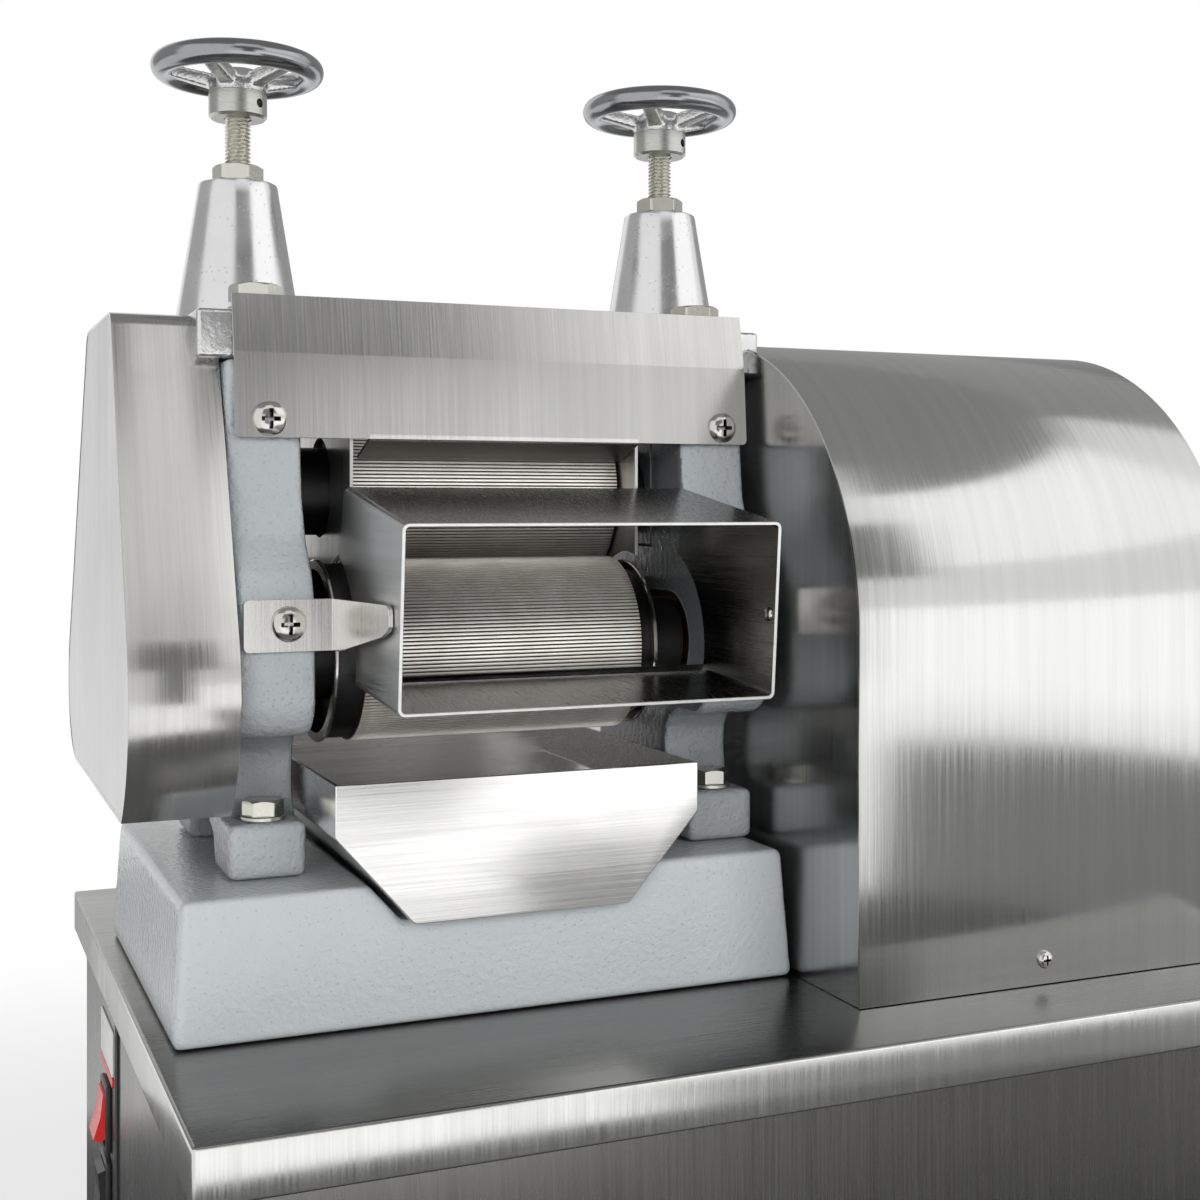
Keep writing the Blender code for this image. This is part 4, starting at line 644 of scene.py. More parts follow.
def moulded(name, colour, roughness, texture=900.0, depth=0.00004, bloom=0.25):
    made, tree, shader = blank_material(name)
    place = shade(tree, "TexCoord").outputs["Object"]
    fine = shade(tree, "TexNoise", {"Vector": place, "Scale": texture, "Detail": 2.0}).outputs["Fac"]
    dusty = use_group(tree, "marks", Place=place, Size=60.0, Sharpness=0.3)["Mask"]
    up = shade(tree, "SeparateXYZ", {0: shade(tree, "NewGeometry").outputs["Normal"]}).outputs["Z"]
    settled = sums(tree, "MULTIPLY", ramp(tree, up, 0.2, 1.0, 0.3, 1.0), dusty)
    pale = tuple(part + (0.25 - part) * 0.5 for part in colour)
    tone = mix_colours(tree, sums(tree, "MULTIPLY", settled, bloom), colour, pale)
    tree.links.new(tone, shader.inputs["Base Color"])
    tree.links.new(ramp(tree, dusty, 0, 1, roughness, roughness + 0.15), shader.inputs["Roughness"])
    tree.links.new(bump(tree, fine, 0.3, depth), shader.inputs["Normal"])
    return made


MATERIALS["rubber"] = moulded("black_rubber", (0.022, 0.022, 0.022), 0.62, 700.0, 0.00008, 0.4)
MATERIALS["belt"] = moulded("belt_rubber", (0.03, 0.03, 0.03), 0.58, 1200.0, 0.00008, 0.4)
BLACK = (0.018, 0.018, 0.019)
MATERIALS["black_plastic"] = moulded("black_moulded_plastic", BLACK, 0.30, 1100.0, 0.00003, 0.2)
MATERIALS["red_plastic"] = moulded("red_moulded_plastic", (0.56, 0.018, 0.014), 0.20, 900.0, 0.00001, 0.1)
MATERIALS["neutral_label"] = moulded("neutral_label", (0.55, 0.55, 0.54), 0.35, 900.0, 0.00001, 0.2)
MATERIALS["dark_strip_finish"] = moulded("dark_strip_finish", (0.012, 0.012, 0.012), 0.6, 900.0, 0.00004, 0.1)
print(len(MATERIALS), "finishes")

# %% [markdown]
# ## Drawing tools
#
# Nearly everything here is either an outline pushed along an axis, such as a folded sheet, or a profile
# turned about one, such as a roller. A sheet-metal worker thinks the same way: a bend line, a bend radius
# and a thickness. The helpers below work in world coordinates, so a piece is drawn where it stands.

# %% Outlines


def arc(centre, radius, start, end, steps=8):
    """Points on an arc; angles in degrees."""
    points = []
    for i in range(steps + 1):
        turn = math.radians(start + (end - start) * i / steps)
        points.append((centre[0] + radius * math.cos(turn), centre[1] + radius * math.sin(turn)))
    return points


def fillet(before, corner, after, radius, steps):
    """The arc that replaces a corner, touching both of its legs."""
    point = Vector(corner)
    one, two = (Vector(before) - point), (Vector(after) - point)
    half = one.angle(two) / 2
    if half > math.radians(89.5) or radius <= 0:
        return [tuple(corner)]
    cut = min(radius / math.tan(half), one.length * 0.49, two.length * 0.49)
    reach = cut / math.cos(half)
    one.normalize()
    two.normalize()
    centre = point + (one + two).normalized() * reach
    first, last = point + one * cut - centre, point + two * cut - centre
    swing = first.angle_signed(last)
    points = []
    for i in range(steps + 1):
        turn = -swing * i / steps
        points.append((
            centre.x + first.x * math.cos(turn) - first.y * math.sin(turn),
            centre.y + first.x * math.sin(turn) + first.y * math.cos(turn),
        ))
    return points


def rounded(points, radii, steps=4):
    """A closed outline with its corners rounded, by one radius or one for each corner."""
    count = len(points)
    if not isinstance(radii, (list, tuple)):
        radii = [radii] * count
    result = []
    for i in range(count):
        result += fillet(points[i - 1], points[i], points[(i + 1) % count], radii[i], steps)
    return result


def bent(points, radius, steps=4):
    """An open path with its inner corners rounded, as a sheet is folded."""
    result = [points[0]]
    for i in range(1, len(points) - 1):
        result += fillet(points[i - 1], points[i], points[i + 1], radius, steps)
    return result + [points[-1]]


def beside(path, distance):
    """The same path moved to its left by a distance."""
    result = []
    for i, point in enumerate(path):
        here = Vector(point)
        legs = []
        if i > 0:
            legs.append((here - Vector(path[i - 1])).normalized())
        if i < len(path) - 1:
            legs.append((Vector(path[i + 1]) - here).normalized())
        normals = [Vector((-leg.y, leg.x)) for leg in legs]
        middle = sum(normals, Vector((0, 0))).normalized()
        result.append(tuple(here + middle * (distance / max(0.3, middle.dot(normals[0])))))
    return result


def sheet_edge(points, thickness, bend=0.0, steps=4):
    """The edge-on outline of a folded sheet, whose thickness goes to the path's left."""
    path = bent(points, bend, steps) if bend else list(points)
    return path + beside(path, thickness)[::-1]


def hull(points):
    """The convex outline round some points, counter-clockwise."""
    points = sorted(set(points))

    def chain(cloud):
        kept = []
        for point in cloud:
            while len(kept) > 1 and (
                (kept[-1][0] - kept[-2][0]) * (point[1] - kept[-2][1])
                - (kept[-1][1] - kept[-2][1]) * (point[0] - kept[-2][0])
            ) <= 1e-12:
                kept.pop()
            kept.append(point)
        return kept[:-1]

    return chain(points) + chain(points[::-1])


def round_hull(circles, steps=48):
    """The tight outline round circles given as (a, b, radius)."""
    return hull([point for a, b, radius in circles for point in arc((a, b), radius, 0, 360, steps)[:-1]])


# %% Solids


def at(axis, along, a, b):
    """A point from its place along an axis and its two other coordinates, in X, Y, Z order."""
    if axis == "X":
        return Vector((along, a, b))
    if axis == "Y":
        return Vector((a, along, b))
    return Vector((a, b, along))


def join_rings(shape, rings, closed=False):
    """Quads between neighbouring rings, and a cap at each end unless the rings close on themselves."""
    count = len(rings[0])
    pairs = list(zip(rings, rings[1:]))
    if closed:
        pairs.append((rings[-1], rings[0]))
    else:
        shape.faces.new(rings[0])
        shape.faces.new(rings[-1])
    for first, second in pairs:
        for i in range(count):
            j = (i + 1) % count
            shape.faces.new((first[i], first[j], second[j], second[i]))
    bmesh.ops.recalc_face_normals(shape, faces=shape.faces)
    return shape


def pushed(axis, outline, start, end):
    """An outline pushed along an axis."""
    shape = bmesh.new()
    rings = [[shape.verts.new(at(axis, along, a, b)) for a, b in outline] for along in (start, end)]
    return join_rings(shape, rings)


def block(x0, x1, y0, y1, z0, z1):
    return pushed("X", ((y0, z0), (y1, z0), (y1, z1), (y0, z1)), x0, x1)


def value_at(thing, turn):
    return thing(turn) if callable(thing) else thing


def turned(axis, centre, profile, steps=64, closed=False):
    """A profile of (along, radius) turned about an axis; either value may be a function of the angle."""
    shape = bmesh.new()
    rings = []
    for along, radius in profile:
        ring = []
        for i in range(steps):
            turn = 2 * math.pi * i / steps
            reach = value_at(radius, turn)
            a = centre[0] + reach * math.cos(turn)
            b = centre[1] + reach * math.sin(turn)
            ring.append(shape.verts.new(at(axis, value_at(along, turn), a, b)))
        rings.append(ring)
    return join_rings(shape, rings, closed)


def rod(axis, centre, start, end, radius, steps=48):
    return turned(axis, centre, ((start, radius), (end, radius)), steps)


def mesh_object(name, shape):
    mesh = bpy.data.meshes.new(name)
    shape.to_mesh(mesh)
    shape.free()
    thing = bpy.data.objects.new(name, mesh)
    bpy.context.scene.collection.objects.link(thing)
    return thing


def settle(thing):
    """The object's shape with its modifiers applied, as a bmesh; the object is removed."""
    bpy.context.view_layer.update()
    graph = bpy.context.evaluated_depsgraph_get()
    mesh = bpy.data.meshes.new_from_object(thing.evaluated_get(graph))
    shape = bmesh.new()
    shape.from_mesh(mesh)
    bpy.data.meshes.remove(mesh)
    old = thing.data
    bpy.data.objects.remove(thing)
    bpy.data.meshes.remove(old)
    return shape


def combine(shape, operation, *others):
    """A Boolean of bmeshes, worked out at once so that no cutter stays in the scene."""
    thing = mesh_object("work", shape)
    tools = []
    for other in others:
        tool = mesh_object("tool", other)
        change = thing.modifiers.new("change", "BOOLEAN")
        change.operation = operation
        change.solver = "EXACT"
        change.object = tool
        tools.append(tool)
    result = settle(thing)
    for tool in tools:
        mesh = tool.data
        bpy.data.objects.remove(tool)
        bpy.data.meshes.remove(mesh)
    return result


def cut(shape, *others):
    return combine(shape, "DIFFERENCE", *others)


def weld(shape, *others):
    return combine(shape, "UNION", *others)


def cast(shape, grain, softness=4, keep=0.5):
    """Turns crisp solids into one casting: remeshed finely, its edges melted, and thinned out again."""
    thing = mesh_object("casting", shape)
    skin = thing.modifiers.new("skin", "REMESH")
    skin.mode = "VOXEL"
    skin.voxel_size = grain
    melt = thing.modifiers.new("melt", "SMOOTH")
    melt.factor = 0.5
    melt.iterations = softness
    thin = thing.modifiers.new("thin", "DECIMATE")
    thin.ratio = keep
    return settle(thing)


def softened(shape, width, segments=3, angle=30):
    """Rolled edges: a bevel on every edge sharper than the angle."""
    thing = mesh_object("crisp", shape)
    roll = thing.modifiers.new("roll", "BEVEL")
    roll.width = width
    roll.segments = segments
    roll.limit_method = "ANGLE"
    roll.angle_limit = math.radians(angle)
    roll.use_clamp_overlap = True
    return settle(thing)


def add(name, shape, finish, like, replaces=(), crease=35):
    """A named piece in its finish; it moves with the body of a solid and hides the solids that it replaces."""
    thing = mesh_object(name, shape)
    thing.data.shade_smooth()
    thing.data.set_sharp_from_angle(angle=math.radians(crease))
    thing.data.materials.append(MATERIALS[finish])
    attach(thing, body_of[like])
    if replaces:
        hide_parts(*replaces)
    return thing


def dress(finish, *names, roll=None):
    """Gives solids that are already right a real finish, and rolled edges where wanted."""
    for name in names:
        node = nodes[name]
        node.data.materials.clear()
        node.data.materials.append(MATERIALS[finish])
        if roll:
            edge = node.modifiers.new("rolled_edges", "BEVEL")
            edge.width = roll
            edge.segments = 2
            edge.limit_method = "ANGLE"
            edge.angle_limit = math.radians(40)
            edge.harden_normals = False
    print(finish, "on", ", ".join(names))

# %% [markdown]
# ## Cabinet
#
# The top is one sheet folded down all round, with the corners cut and butted, which leaves a fine dark
# line at each corner. It could be a box with a bevel, but then the corner lines and the folded edge's
# own radius would be missing, and those are what make sheet metal read as sheet metal.

# %% Folded cabinet top
LIP_BEND = 2.2 * MM
SEAM = 0.35 * MM


def belt_opening():
    belt, pulley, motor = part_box("drive_belt"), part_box("driven_pulley"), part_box("motor_pulley")
    upper, lower = (pulley[0] + pulley[1]) / 2, (motor[0] + motor[1]) / 2
    share = (upper.z - DECK) / (upper.z - lower.z)
    middle = upper.y + (lower.y - upper.y) * share
    half = (belt[1].y - belt[0].y) / 2 - 1 * MM
    margin = 8 * MM
    return block(
        belt[0].x - margin, belt[1].x + margin, middle - half, middle + half, DECK - 10 * MM, DECK + 10 * MM
    )


def make_cabinet_top():
    a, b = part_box("cabinet_top")
    outline = rounded([(a.x, a.y), (b.x, a.y), (b.x, b.y), (a.x, b.y)], 1.2 * MM, 3)
    shape = softened(pushed("Z", outline, a.z, b.z), LIP_BEND, 4, 60)
    inside = block(a.x + SHEET, b.x - SHEET, a.y + SHEET, b.y - SHEET, a.z - 10 * MM, b.z - SHEET)
    cuts = [inside, belt_opening()]
    for x in (a.x, b.x):
        for y, side in ((a.y, 1), (b.y, -1)):
            low_y, high_y = sorted((y + side * 1.0 * MM, y + side * (1.0 * MM + SEAM)))
            cuts.append(block(x - 0.5 * MM, x + 0.5 * MM, low_y, high_y, a.z - 1 * MM, b.z - LIP_BEND))
    top = add("folded_cabinet_top", cut(shape, *cuts), "deck", "cabinet_top", ["cabinet_top"])
    # The sheet's flat faces take the dark deck copy as painted shade, its folded sides the bright lip copy as
    # painted light.
    top.data.materials.append(MATERIALS["lip"])
    for face in top.data.polygons:
        if abs(face.normal.z) < 0.5:
            face.material_index = 1
    return top


make_cabinet_top()
# The shell and rear panel take the dark panel copy of the stainless, as painted shade.
dress("panel", "cabinet_shell", "rear_panel")
print("lip depth", round(high("cabinet_top").z - low("cabinet_top").z, 4))

# %% [markdown]
# ### Feet, gland and panel screws
#
# Feet are turned rubber with a waist and a screw well; the gland is a hexagon with a domed clamping nut;
# pan-head screws with a cross recess hold the sheets. A cross recess is two tapered slots cut into a low
# dome. It is cut for real, because a painted cross has no highlight on its walls. The faces that lie below
# the dome get a near-black finish, as painted shade in the recesses.

# %% Hexagons, screws and feet


def hex_reach(across_flats, lead=0.0):
    """Distance to a hexagon's side at an angle; lead turns the hexagon."""

    def reach(turn):
        swing = (turn - lead + math.pi / 6) % (math.pi / 3) - math.pi / 6
        return across_flats / 2 / math.cos(swing)

    return reach


def hex_body(axis, centre, across_flats, start, end, lead=0.0, bore=0.0, both=True):
    """A hexagon with chamfered corners, as nuts and bolt heads have; end is the face that shows."""
    side = hex_reach(across_flats, lead)
    flat = across_flats / 2 * 0.955
    way = 1 if end > start else -1

    def drop(turn):
        return max(0.0, side(turn) - flat) * math.tan(math.radians(30))

    profile = [(start, flat if both else side)]
    if both:
        profile.append((lambda turn: start + way * drop(turn), side))
    profile.append((lambda turn: end - way * drop(turn), side))
    profile.append((end, flat))
    if bore:
        profile.append((end, bore + 0.6 * MM))
        profile.append((end - way * 0.6 * MM, bore))
        profile.append((start, bore))
    return turned(axis, centre, profile, 96, closed=bool(bore))


def pan_screw(axis, centre, face, way, radius, height=None):
    """A domed head with a cross recess on a face; way is +1 or -1, the side that it stands on."""
    height = height or radius * 0.55
    profile = [(face - way * 0.4 * MM, radius * 0.96), (face + way * 0.12 * height, radius)]
    for step in range(1, 9):
        lean = math.radians(90 * step / 9)
        crown = height * (0.12 + 0.88 * math.sin(lean))
        profile.append((face + way * crown, radius * math.cos(lean) ** 0.75))
    head = turned(axis, centre, profile, 48)
    arm, thin = radius * 0.54, radius * 0.115
    tools = []
    for long_a, long_b in ((arm, thin), (thin, arm)):
        shape = bmesh.new()
        rings = []
        for deep, share in ((0.0, 0.45), (height * 1.2, 1.15)):
            reach_a, reach_b = long_a * share, long_b * max(share, 0.8)
            corners = ((-reach_a, -reach_b), (reach_a, -reach_b), (reach_a, reach_b), (-reach_a, reach_b))
            rings.append([
                shape.verts.new(at(axis, face + way * deep, centre[0] + p, centre[1] + q)) for p, q in corners
            ])
        tools.append(join_rings(shape, rings))
    return cut(head, *tools)


def add_screw(name, axis, centre, face, way, radius, like):
    """A pan-head screw whose recess faces, those below the dome, take a near-black finish as painted shade."""
    height = radius * 0.55
    screw = add(name, pan_screw(axis, centre, face, way, radius, height), "screw", like)
    # The recess faces take the near-black finish as painted shade.
    screw.data.materials.append(MATERIALS["black_iron"])
    along = "XYZ".index(axis)
    others = [i for i in range(3) if i != along]
    for panel in screw.data.polygons:
        reach = math.hypot(*(panel.center[i] - centre[n] for n, i in enumerate(others))) / radius
        dome = height * (0.12 + 0.88 * math.sin(math.acos(min(1.0, reach) ** (4 / 3))))
        if reach < 0.66 and (panel.center[along] - face) * way < dome - 0.13 * MM:
            panel.material_index = 1
    return screw


def make_feet():
    for name in [n for n in nodes if n.startswith("foot_")]:
        a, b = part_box(name)
        middle = ((a.x + b.x) / 2, (a.y + b.y) / 2)
        radius, tall = (b.x - a.x) / 2, b.z - a.z
        profile = [
            (a.z + 5 * MM, 3.0 * MM), (a.z + 5 * MM, 5.5 * MM), (a.z + 0.3 * MM, 6.2 * MM), (a.z, 7 * MM),
            (a.z, radius - 1.5 * MM), (a.z + 1.2 * MM, radius), (a.z + 3.5 * MM, radius),
            (a.z + 5 * MM, radius - 1.6 * MM), (a.z + tall - 4 * MM, radius - 2.4 * MM),
            (b.z - 2.4 * MM, radius - 0.8 * MM), (b.z, radius - 0.8 * MM), (b.z, 3.0 * MM),
        ]
        add(f"rubber_{name}", turned("Z", middle, profile, 64, closed=True), "rubber", name, [name])
        well = turned("Z", middle, [(a.z + 4.5 * MM, 5.2 * MM), (a.z + 5.2 * MM, 5.2 * MM)], 32)
        add(f"screw_in_{name}", well, "zinc", name)


def make_gland():
    a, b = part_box("cord_gland")
    centre = ((a.x + b.x) / 2, (a.z + b.z) / 2)
    face = high("rear_panel").y
    radius = (b.x - a.x) / 2
    base = hex_body("Y", centre, 2 * radius * 0.90, face, face + 5 * MM)
    ribs = 16

    def ribbed(turn):
        return radius * 0.84 + 0.35 * MM * (1 if math.cos(ribs * turn) > 0 else -1)

    dome = turned("Y", centre, [
        (a.y, 3.9 * MM), (a.y, radius - 3.2 * MM), (face + 4 * MM, radius - 3.2 * MM),
        (face + 4 * MM, ribbed), (b.y - 4 * MM, ribbed), (b.y - 1.6 * MM, radius * 0.68),
        (b.y, radius * 0.52), (b.y, 3.9 * MM),
    ], 96, closed=True)
    base = cut(base, rod("Y", centre, face - 2 * MM, face + 8 * MM, radius - 3.6 * MM))
    add("gland_hexagon", base, "black_plastic", "cord_gland", ["cord_gland"])
    add("gland_clamping_nut", dome, "black_plastic", "cord_gland")


def make_rear_screws():
    a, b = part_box("rear_panel")
    inset = 8 * MM
    count = 0
    for x in (a.x + inset, (a.x + b.x) / 2, b.x - inset):
        for z in (a.z + inset, b.z - inset - 16 * MM):
            count += 1
            add_screw(f"rear_panel_screw_{count}", "Y", (x, z), b.y, 1, 3.4 * MM, "rear_panel")
    return count


make_feet()
make_gland()
print("rear panel screws:", make_rear_screws())

# %% [markdown]
# ### Switches and label plate
#
# Two rocker switches sit one above the other near the back of the left side. A rocker is a shallow V in
# plastic with a rounded ridge, so its outline is drawn once from the side and pushed through. A bare plate
# above the switches and a narrow dark strip stand for the printed panel; they carry no lettering.

# %% Switches


def make_switch_frame(name):
    a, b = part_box(f"{name}_switch_body")
    panel = low("cabinet_shell").x
    outline = rounded([(a.y, a.z), (b.y, a.z), (b.y, b.z), (a.y, b.z)], 1.6 * MM, 4)
    wall = 2.2 * MM
    inner = rounded(
        [
            (a.y + wall, a.z + wall), (b.y - wall, a.z + wall),
            (b.y - wall, b.z - wall), (a.y + wall, b.z - wall),
        ],
        0.6 * MM, 3,
    )
    shape = softened(pushed("X", outline, a.x, panel - 0.1 * MM), 0.7 * MM, 3, 60)
    back = block(panel - 1 * MM, b.x, a.y + 1.6 * MM, b.y - 1.6 * MM, a.z + 1.6 * MM, b.z - 1.6 * MM)
    shape = weld(shape, back)
    shape = cut(shape, pushed("X", inner, a.x - 5 * MM, panel + 10 * MM))
    add(f"{name}_switch_frame", shape, "black_plastic", f"{name}_switch_body", [f"{name}_switch_body"])


for switch in ("power", "direction"):
    make_switch_frame(switch)
dress("red_plastic", "power_rocker", roll=0.5 * MM)
dress("black_plastic", "direction_rocker", roll=0.5 * MM)


def make_side_plates():
    """The bare label plate, its red edge and the dark strip on the cabinet's left side."""
    panel = low("cabinet_shell").x
    a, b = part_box("power_switch_body")
    top = DECK - 34 * MM
    foot = b.z + 6 * MM
    front, rear = a.y - 8 * MM, b.y + 12 * MM
    outline = rounded([(front, foot), (rear, foot), (rear, top), (front, top)], 1.5 * MM)
    plate = softened(pushed("X", outline, panel - 0.7 * MM, panel - 0.02 * MM), 0.2 * MM, 2, 60)
    add("bare_label_plate", plate, "neutral_label", "cabinet_shell")
    edge = pushed("X", rounded([
        (front - 0.2 * MM, foot - 4 * MM), (rear, foot - 4 * MM),
        (rear, foot - 0.4 * MM), (front - 0.2 * MM, foot - 0.4 * MM),
    ], 0.8 * MM), panel - 0.7 * MM, panel - 0.02 * MM)
    add("label_red_edge", edge, "red_plastic", "cabinet_shell")
    # A narrow near-black strip on the side panel.
    strip_y = low("cabinet_shell").y + 205 * MM
    strip = pushed("X", rounded([
        (strip_y, DECK - 150 * MM), (strip_y + 7 * MM, DECK - 150 * MM),
        (strip_y + 7 * MM, DECK - 24 * MM), (strip_y, DECK - 24 * MM),
    ], 1.5 * MM), panel - 0.9 * MM, panel - 0.02 * MM)
    add("dark_side_strip", strip, "dark_strip_finish", "cabinet_shell")


make_side_plates()

# %% [markdown]
# ## Base casting
#
# A low block with drafted sides, so that it could leave its mould, and a notch for the tray. Bevels alone
# give every edge the same crisp radius; a sand casting is softer and a little uneven. So the crisp solids
# are joined, remeshed finely and melted by a few rounds of smoothing.

# %% Base
NOTCH_SLACK = 2.2 * MM


def tray_section(grow=0.0, drop=0.0):
    """The tray's six-cornered end in X and Z, from its own box."""
    a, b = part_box("juice_tray")
    taper, shoulder = 27.8 * MM, 31.5 * MM
    return [
        (a.x + taper - grow, a.z - drop), (b.x - taper + grow, a.z - drop),
        (b.x + grow, a.z + shoulder - drop), (b.x + grow, b.z + 20 * MM * bool(grow)),
        (a.x - grow, b.z + 20 * MM * bool(grow)), (a.x - grow, a.z + shoulder - drop),
    ]


def make_base():
    a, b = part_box("base_casting")
    draft = 3 * MM
    shape = bmesh.new()
    rings = []
    for z, inwards in ((a.z, 0), (b.z, draft)):
        left, right, front, rear = a.x + inwards, b.x - inwards, a.y + inwards, b.y - inwards
        rings.append([shape.verts.new(p) for p in (
            (left, front, z), (right, front, z), (right, rear, z), (left, rear, z),
        )])
    join_rings(shape, rings)
    shape = softened(shape, 2.2 * MM, 3, 30)
    notch = pushed("Y", tray_section(NOTCH_SLACK, 0.4 * MM), a.y - 10 * MM, high("juice_tray").y + 3 * MM)
    shape = cast(cut(shape, notch), 1.3 * MM, 5, 0.35)
    hollow = block(
        a.x + 9 * MM, b.x - 9 * MM, a.y + 9 * MM, b.y - 9 * MM, a.z - 5 * MM, low("juice_tray").z - 9 * MM
    )
    shape = cut(shape, hollow)
    return add("base_skin", shape, "paint", "base_casting", ["base_casting"], crease=50)


base = make_base()
print("base faces:", len(base.data.polygons))

# %% [markdown]
# ## Side frames
#
# Each frame has feet, an arch between them, a neck, a round belly round the lower bearings and a straight
# upper part. The outline is drawn for the front half and mirrored. The bearing seats and the slot for the
# top bearing blocks are machined after casting, so they are cut after the melting and stay crisp. The faces
# that look at the rollers get a near-black copy of the paint: painted shade, and grime from juice and grease.

# %% Side frame outline and bodies


def frame_half():
    """The front half of the outline: (distance ahead of the press centre, height), top to bottom."""
    top, foot = high("left_side_frame").z, low("left_side_frame").z
    axis_z, low_z = TOP_AXIS.z, FRONT_AXIS.z
    reach = PRESS_Y - low("left_side_frame").y
    belly = low_z - 28 * MM
    toe = foot + 19.5 * MM
    waist = (belly + toe) / 2
    half = [
        (49 * MM, top), (49.5 * MM, axis_z + 16 * MM), (51.5 * MM, axis_z - 2 * MM),
        (57.5 * MM, axis_z - 17 * MM), (reach - 5.5 * MM, axis_z - 29 * MM),
        (reach - 1.5 * MM, axis_z - 38 * MM), (reach, axis_z - 48 * MM), (reach, low_z - 12 * MM),
    ]
    half += arc((reach - 14 * MM, belly + 14 * MM), 14 * MM, 0, -90, 6)
    half += [
        (46 * MM, belly), (39 * MM, belly - 3 * MM), (35.8 * MM, belly - 8 * MM), (35 * MM, waist),
        (35 * MM, waist - 3 * MM), (36 * MM, toe + 6 * MM), (39 * MM, toe + 0.4 * MM), (56.5 * MM, toe),
        (58 * MM, toe - 1.5 * MM), (58 * MM, foot), (28 * MM, foot), (24 * MM, foot + 10 * MM),
        (14 * MM, foot + 14 * MM),
    ]
    return half


def make_side_frame(side):
    node = f"{side}_side_frame"
    a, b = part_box(node)
    half = frame_half()
    outline = [(PRESS_Y - ahead, z) for ahead, z in half]
    outline += [(PRESS_Y + ahead, z) for ahead, z in reversed(half)]
    blank = softened(pushed("X", outline, a.x + 0.2 * MM, b.x - 0.2 * MM), 2.4 * MM, 3, 75)
    shape = cast(blank, 1.1 * MM, 5, 0.4)
    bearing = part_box(f"lower_bearing_{side}")
    radius = (bearing[1].z - bearing[0].z) / 2
    seats = round_hull([(axis.y, axis.z, radius + 0.3 * MM) for axis in (FRONT_AXIS, REAR_AXIS)])
    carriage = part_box(f"top_bearing_{side}")
    slot = block(
        a.x - 9 * MM, b.x + 9 * MM, carriage[0].y - 0.4 * MM, carriage[1].y + 0.4 * MM,
        carriage[0].z - 0.3 * MM, b.z + 9 * MM,
    )
    cap = block(a.x - 9 * MM, b.x + 9 * MM, a.y - 9 * MM, b.y + 9 * MM, b.z - 0.25 * MM, b.z + 9 * MM)
    shape = cut(shape, pushed("X", seats, a.x - 9 * MM, b.x + 9 * MM), slot, cap)
    # The casting takes the rougher copy of the enamel, darker as painted shade.
    casting = add(f"{side}_frame_casting", shape, "rough_shaded_paint", node, [node], crease=45)
    casting.data.materials.append(MATERIALS["shade_and_grime_paint"])
    inward = 1 if side == "left" else -1
    # Faces turned to the rollers take the near-black copy: painted shade, and grime.
    for panel in casting.data.polygons:
        if panel.normal.x * inward > 0.8 and panel.center.z > a.z + 21 * MM:
            panel.material_index = 1


for side in ("left", "right"):
    make_side_frame(side)
# The top bearing blocks take the near-black copy of the paint as painted shade.
dress("shade_and_grime_paint", "top_bearing_left", "top_bearing_right", roll=0.3 * MM)
dress("bronze", "lower_bearing_left", "lower_bearing_right", roll=0.3 * MM)

# %% [markdown]
# ### Foot bolts
#
# Hexagon bolts on plain washers, M8 with a 13 mm head. The washer is a turned ring, and the head a turned
# stack whose radius changes with the angle on the hexagon's rings.

# %% Bolts through the feet


def make_foot_bolt(name):
    a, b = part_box(name)
    centre = ((a.x + b.x) / 2, (a.y + b.y) / 2)
    seat = low("left_side_frame").z + 19.8 * MM
    washer = turned("Z", centre, [
        (seat, 4.3 * MM), (seat, 7.8 * MM), (seat + 0.2 * MM, 8.0 * MM), (seat + 1.3 * MM, 8.0 * MM),
        (seat + 1.6 * MM, 7.7 * MM), (seat + 1.6 * MM, 4.3 * MM),
    ], 64, closed=True)
    add(f"washer_{name}", washer, "zinc", name, [name])
    head = hex_body("Z", centre, 13 * MM, seat + 1.6 * MM, seat + 7.1 * MM, math.radians(20), both=False)
    shank = rod("Z", centre, a.z, seat + 3 * MM, 3.9 * MM)
    add(f"hexagon_{name}", weld(head, shank), "zinc", name)


for name in [n for n in nodes if n.startswith("frame_bolt_")]:
    make_foot_bolt(name)

# %% [markdown]
# ## Screw towers
#
# A tower is a flange on the frame's top with a tapered post, one casting, polished on the post and left
# rough at the foot. The post's sides need many segments: a mirror finish shows every facet. The nut is a
# chamfered hexagon, and the spindle has a real thread, because it stands against a white background.

# %% Towers


def make_tower(side):
    node = f"{side}_screw_tower"
    a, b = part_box(node)
    x = SCREW_X[side]
    centre = (x, PRESS_Y)
    flange_top = a.z + 17.5 * MM
    flange = softened(block(a.x, b.x, a.y, b.y, a.z, flange_top), 1.6 * MM, 3)
    flange = cut(flange, rod("Z", centre, a.z - 5 * MM, flange_top + 5 * MM, 10 * MM))
    add(f"{side}_tower_flange", flange, "cast_chrome", node, [node])
    foot_r, top_r = 23 * MM, 15 * MM
    profile = [(flange_top - 2 * MM, 9 * MM), (flange_top - 2 * MM, foot_r + 0.2 * MM)]
    profile += [(flange_top + 0.6 * MM, foot_r + 0.4 * MM), (flange_top + 2.2 * MM, foot_r)]
    for step in range(1, 12):
        share = step / 12
        climb = (b.z - flange_top - 4 * MM) * share
        profile.append((flange_top + 2.2 * MM + climb, foot_r + (top_r - foot_r) * share))
    profile += [(b.z - 1.4 * MM, top_r), (b.z - 0.5 * MM, top_r - 0.35 * MM), (b.z, top_r - 1.3 * MM)]
    profile += [(b.z, 5.8 * MM), (a.z, 5.8 * MM), (a.z, 9 * MM)]
    add(f"{side}_tower_post", turned("Z", centre, profile, 128, closed=True), "tower_chrome", node)


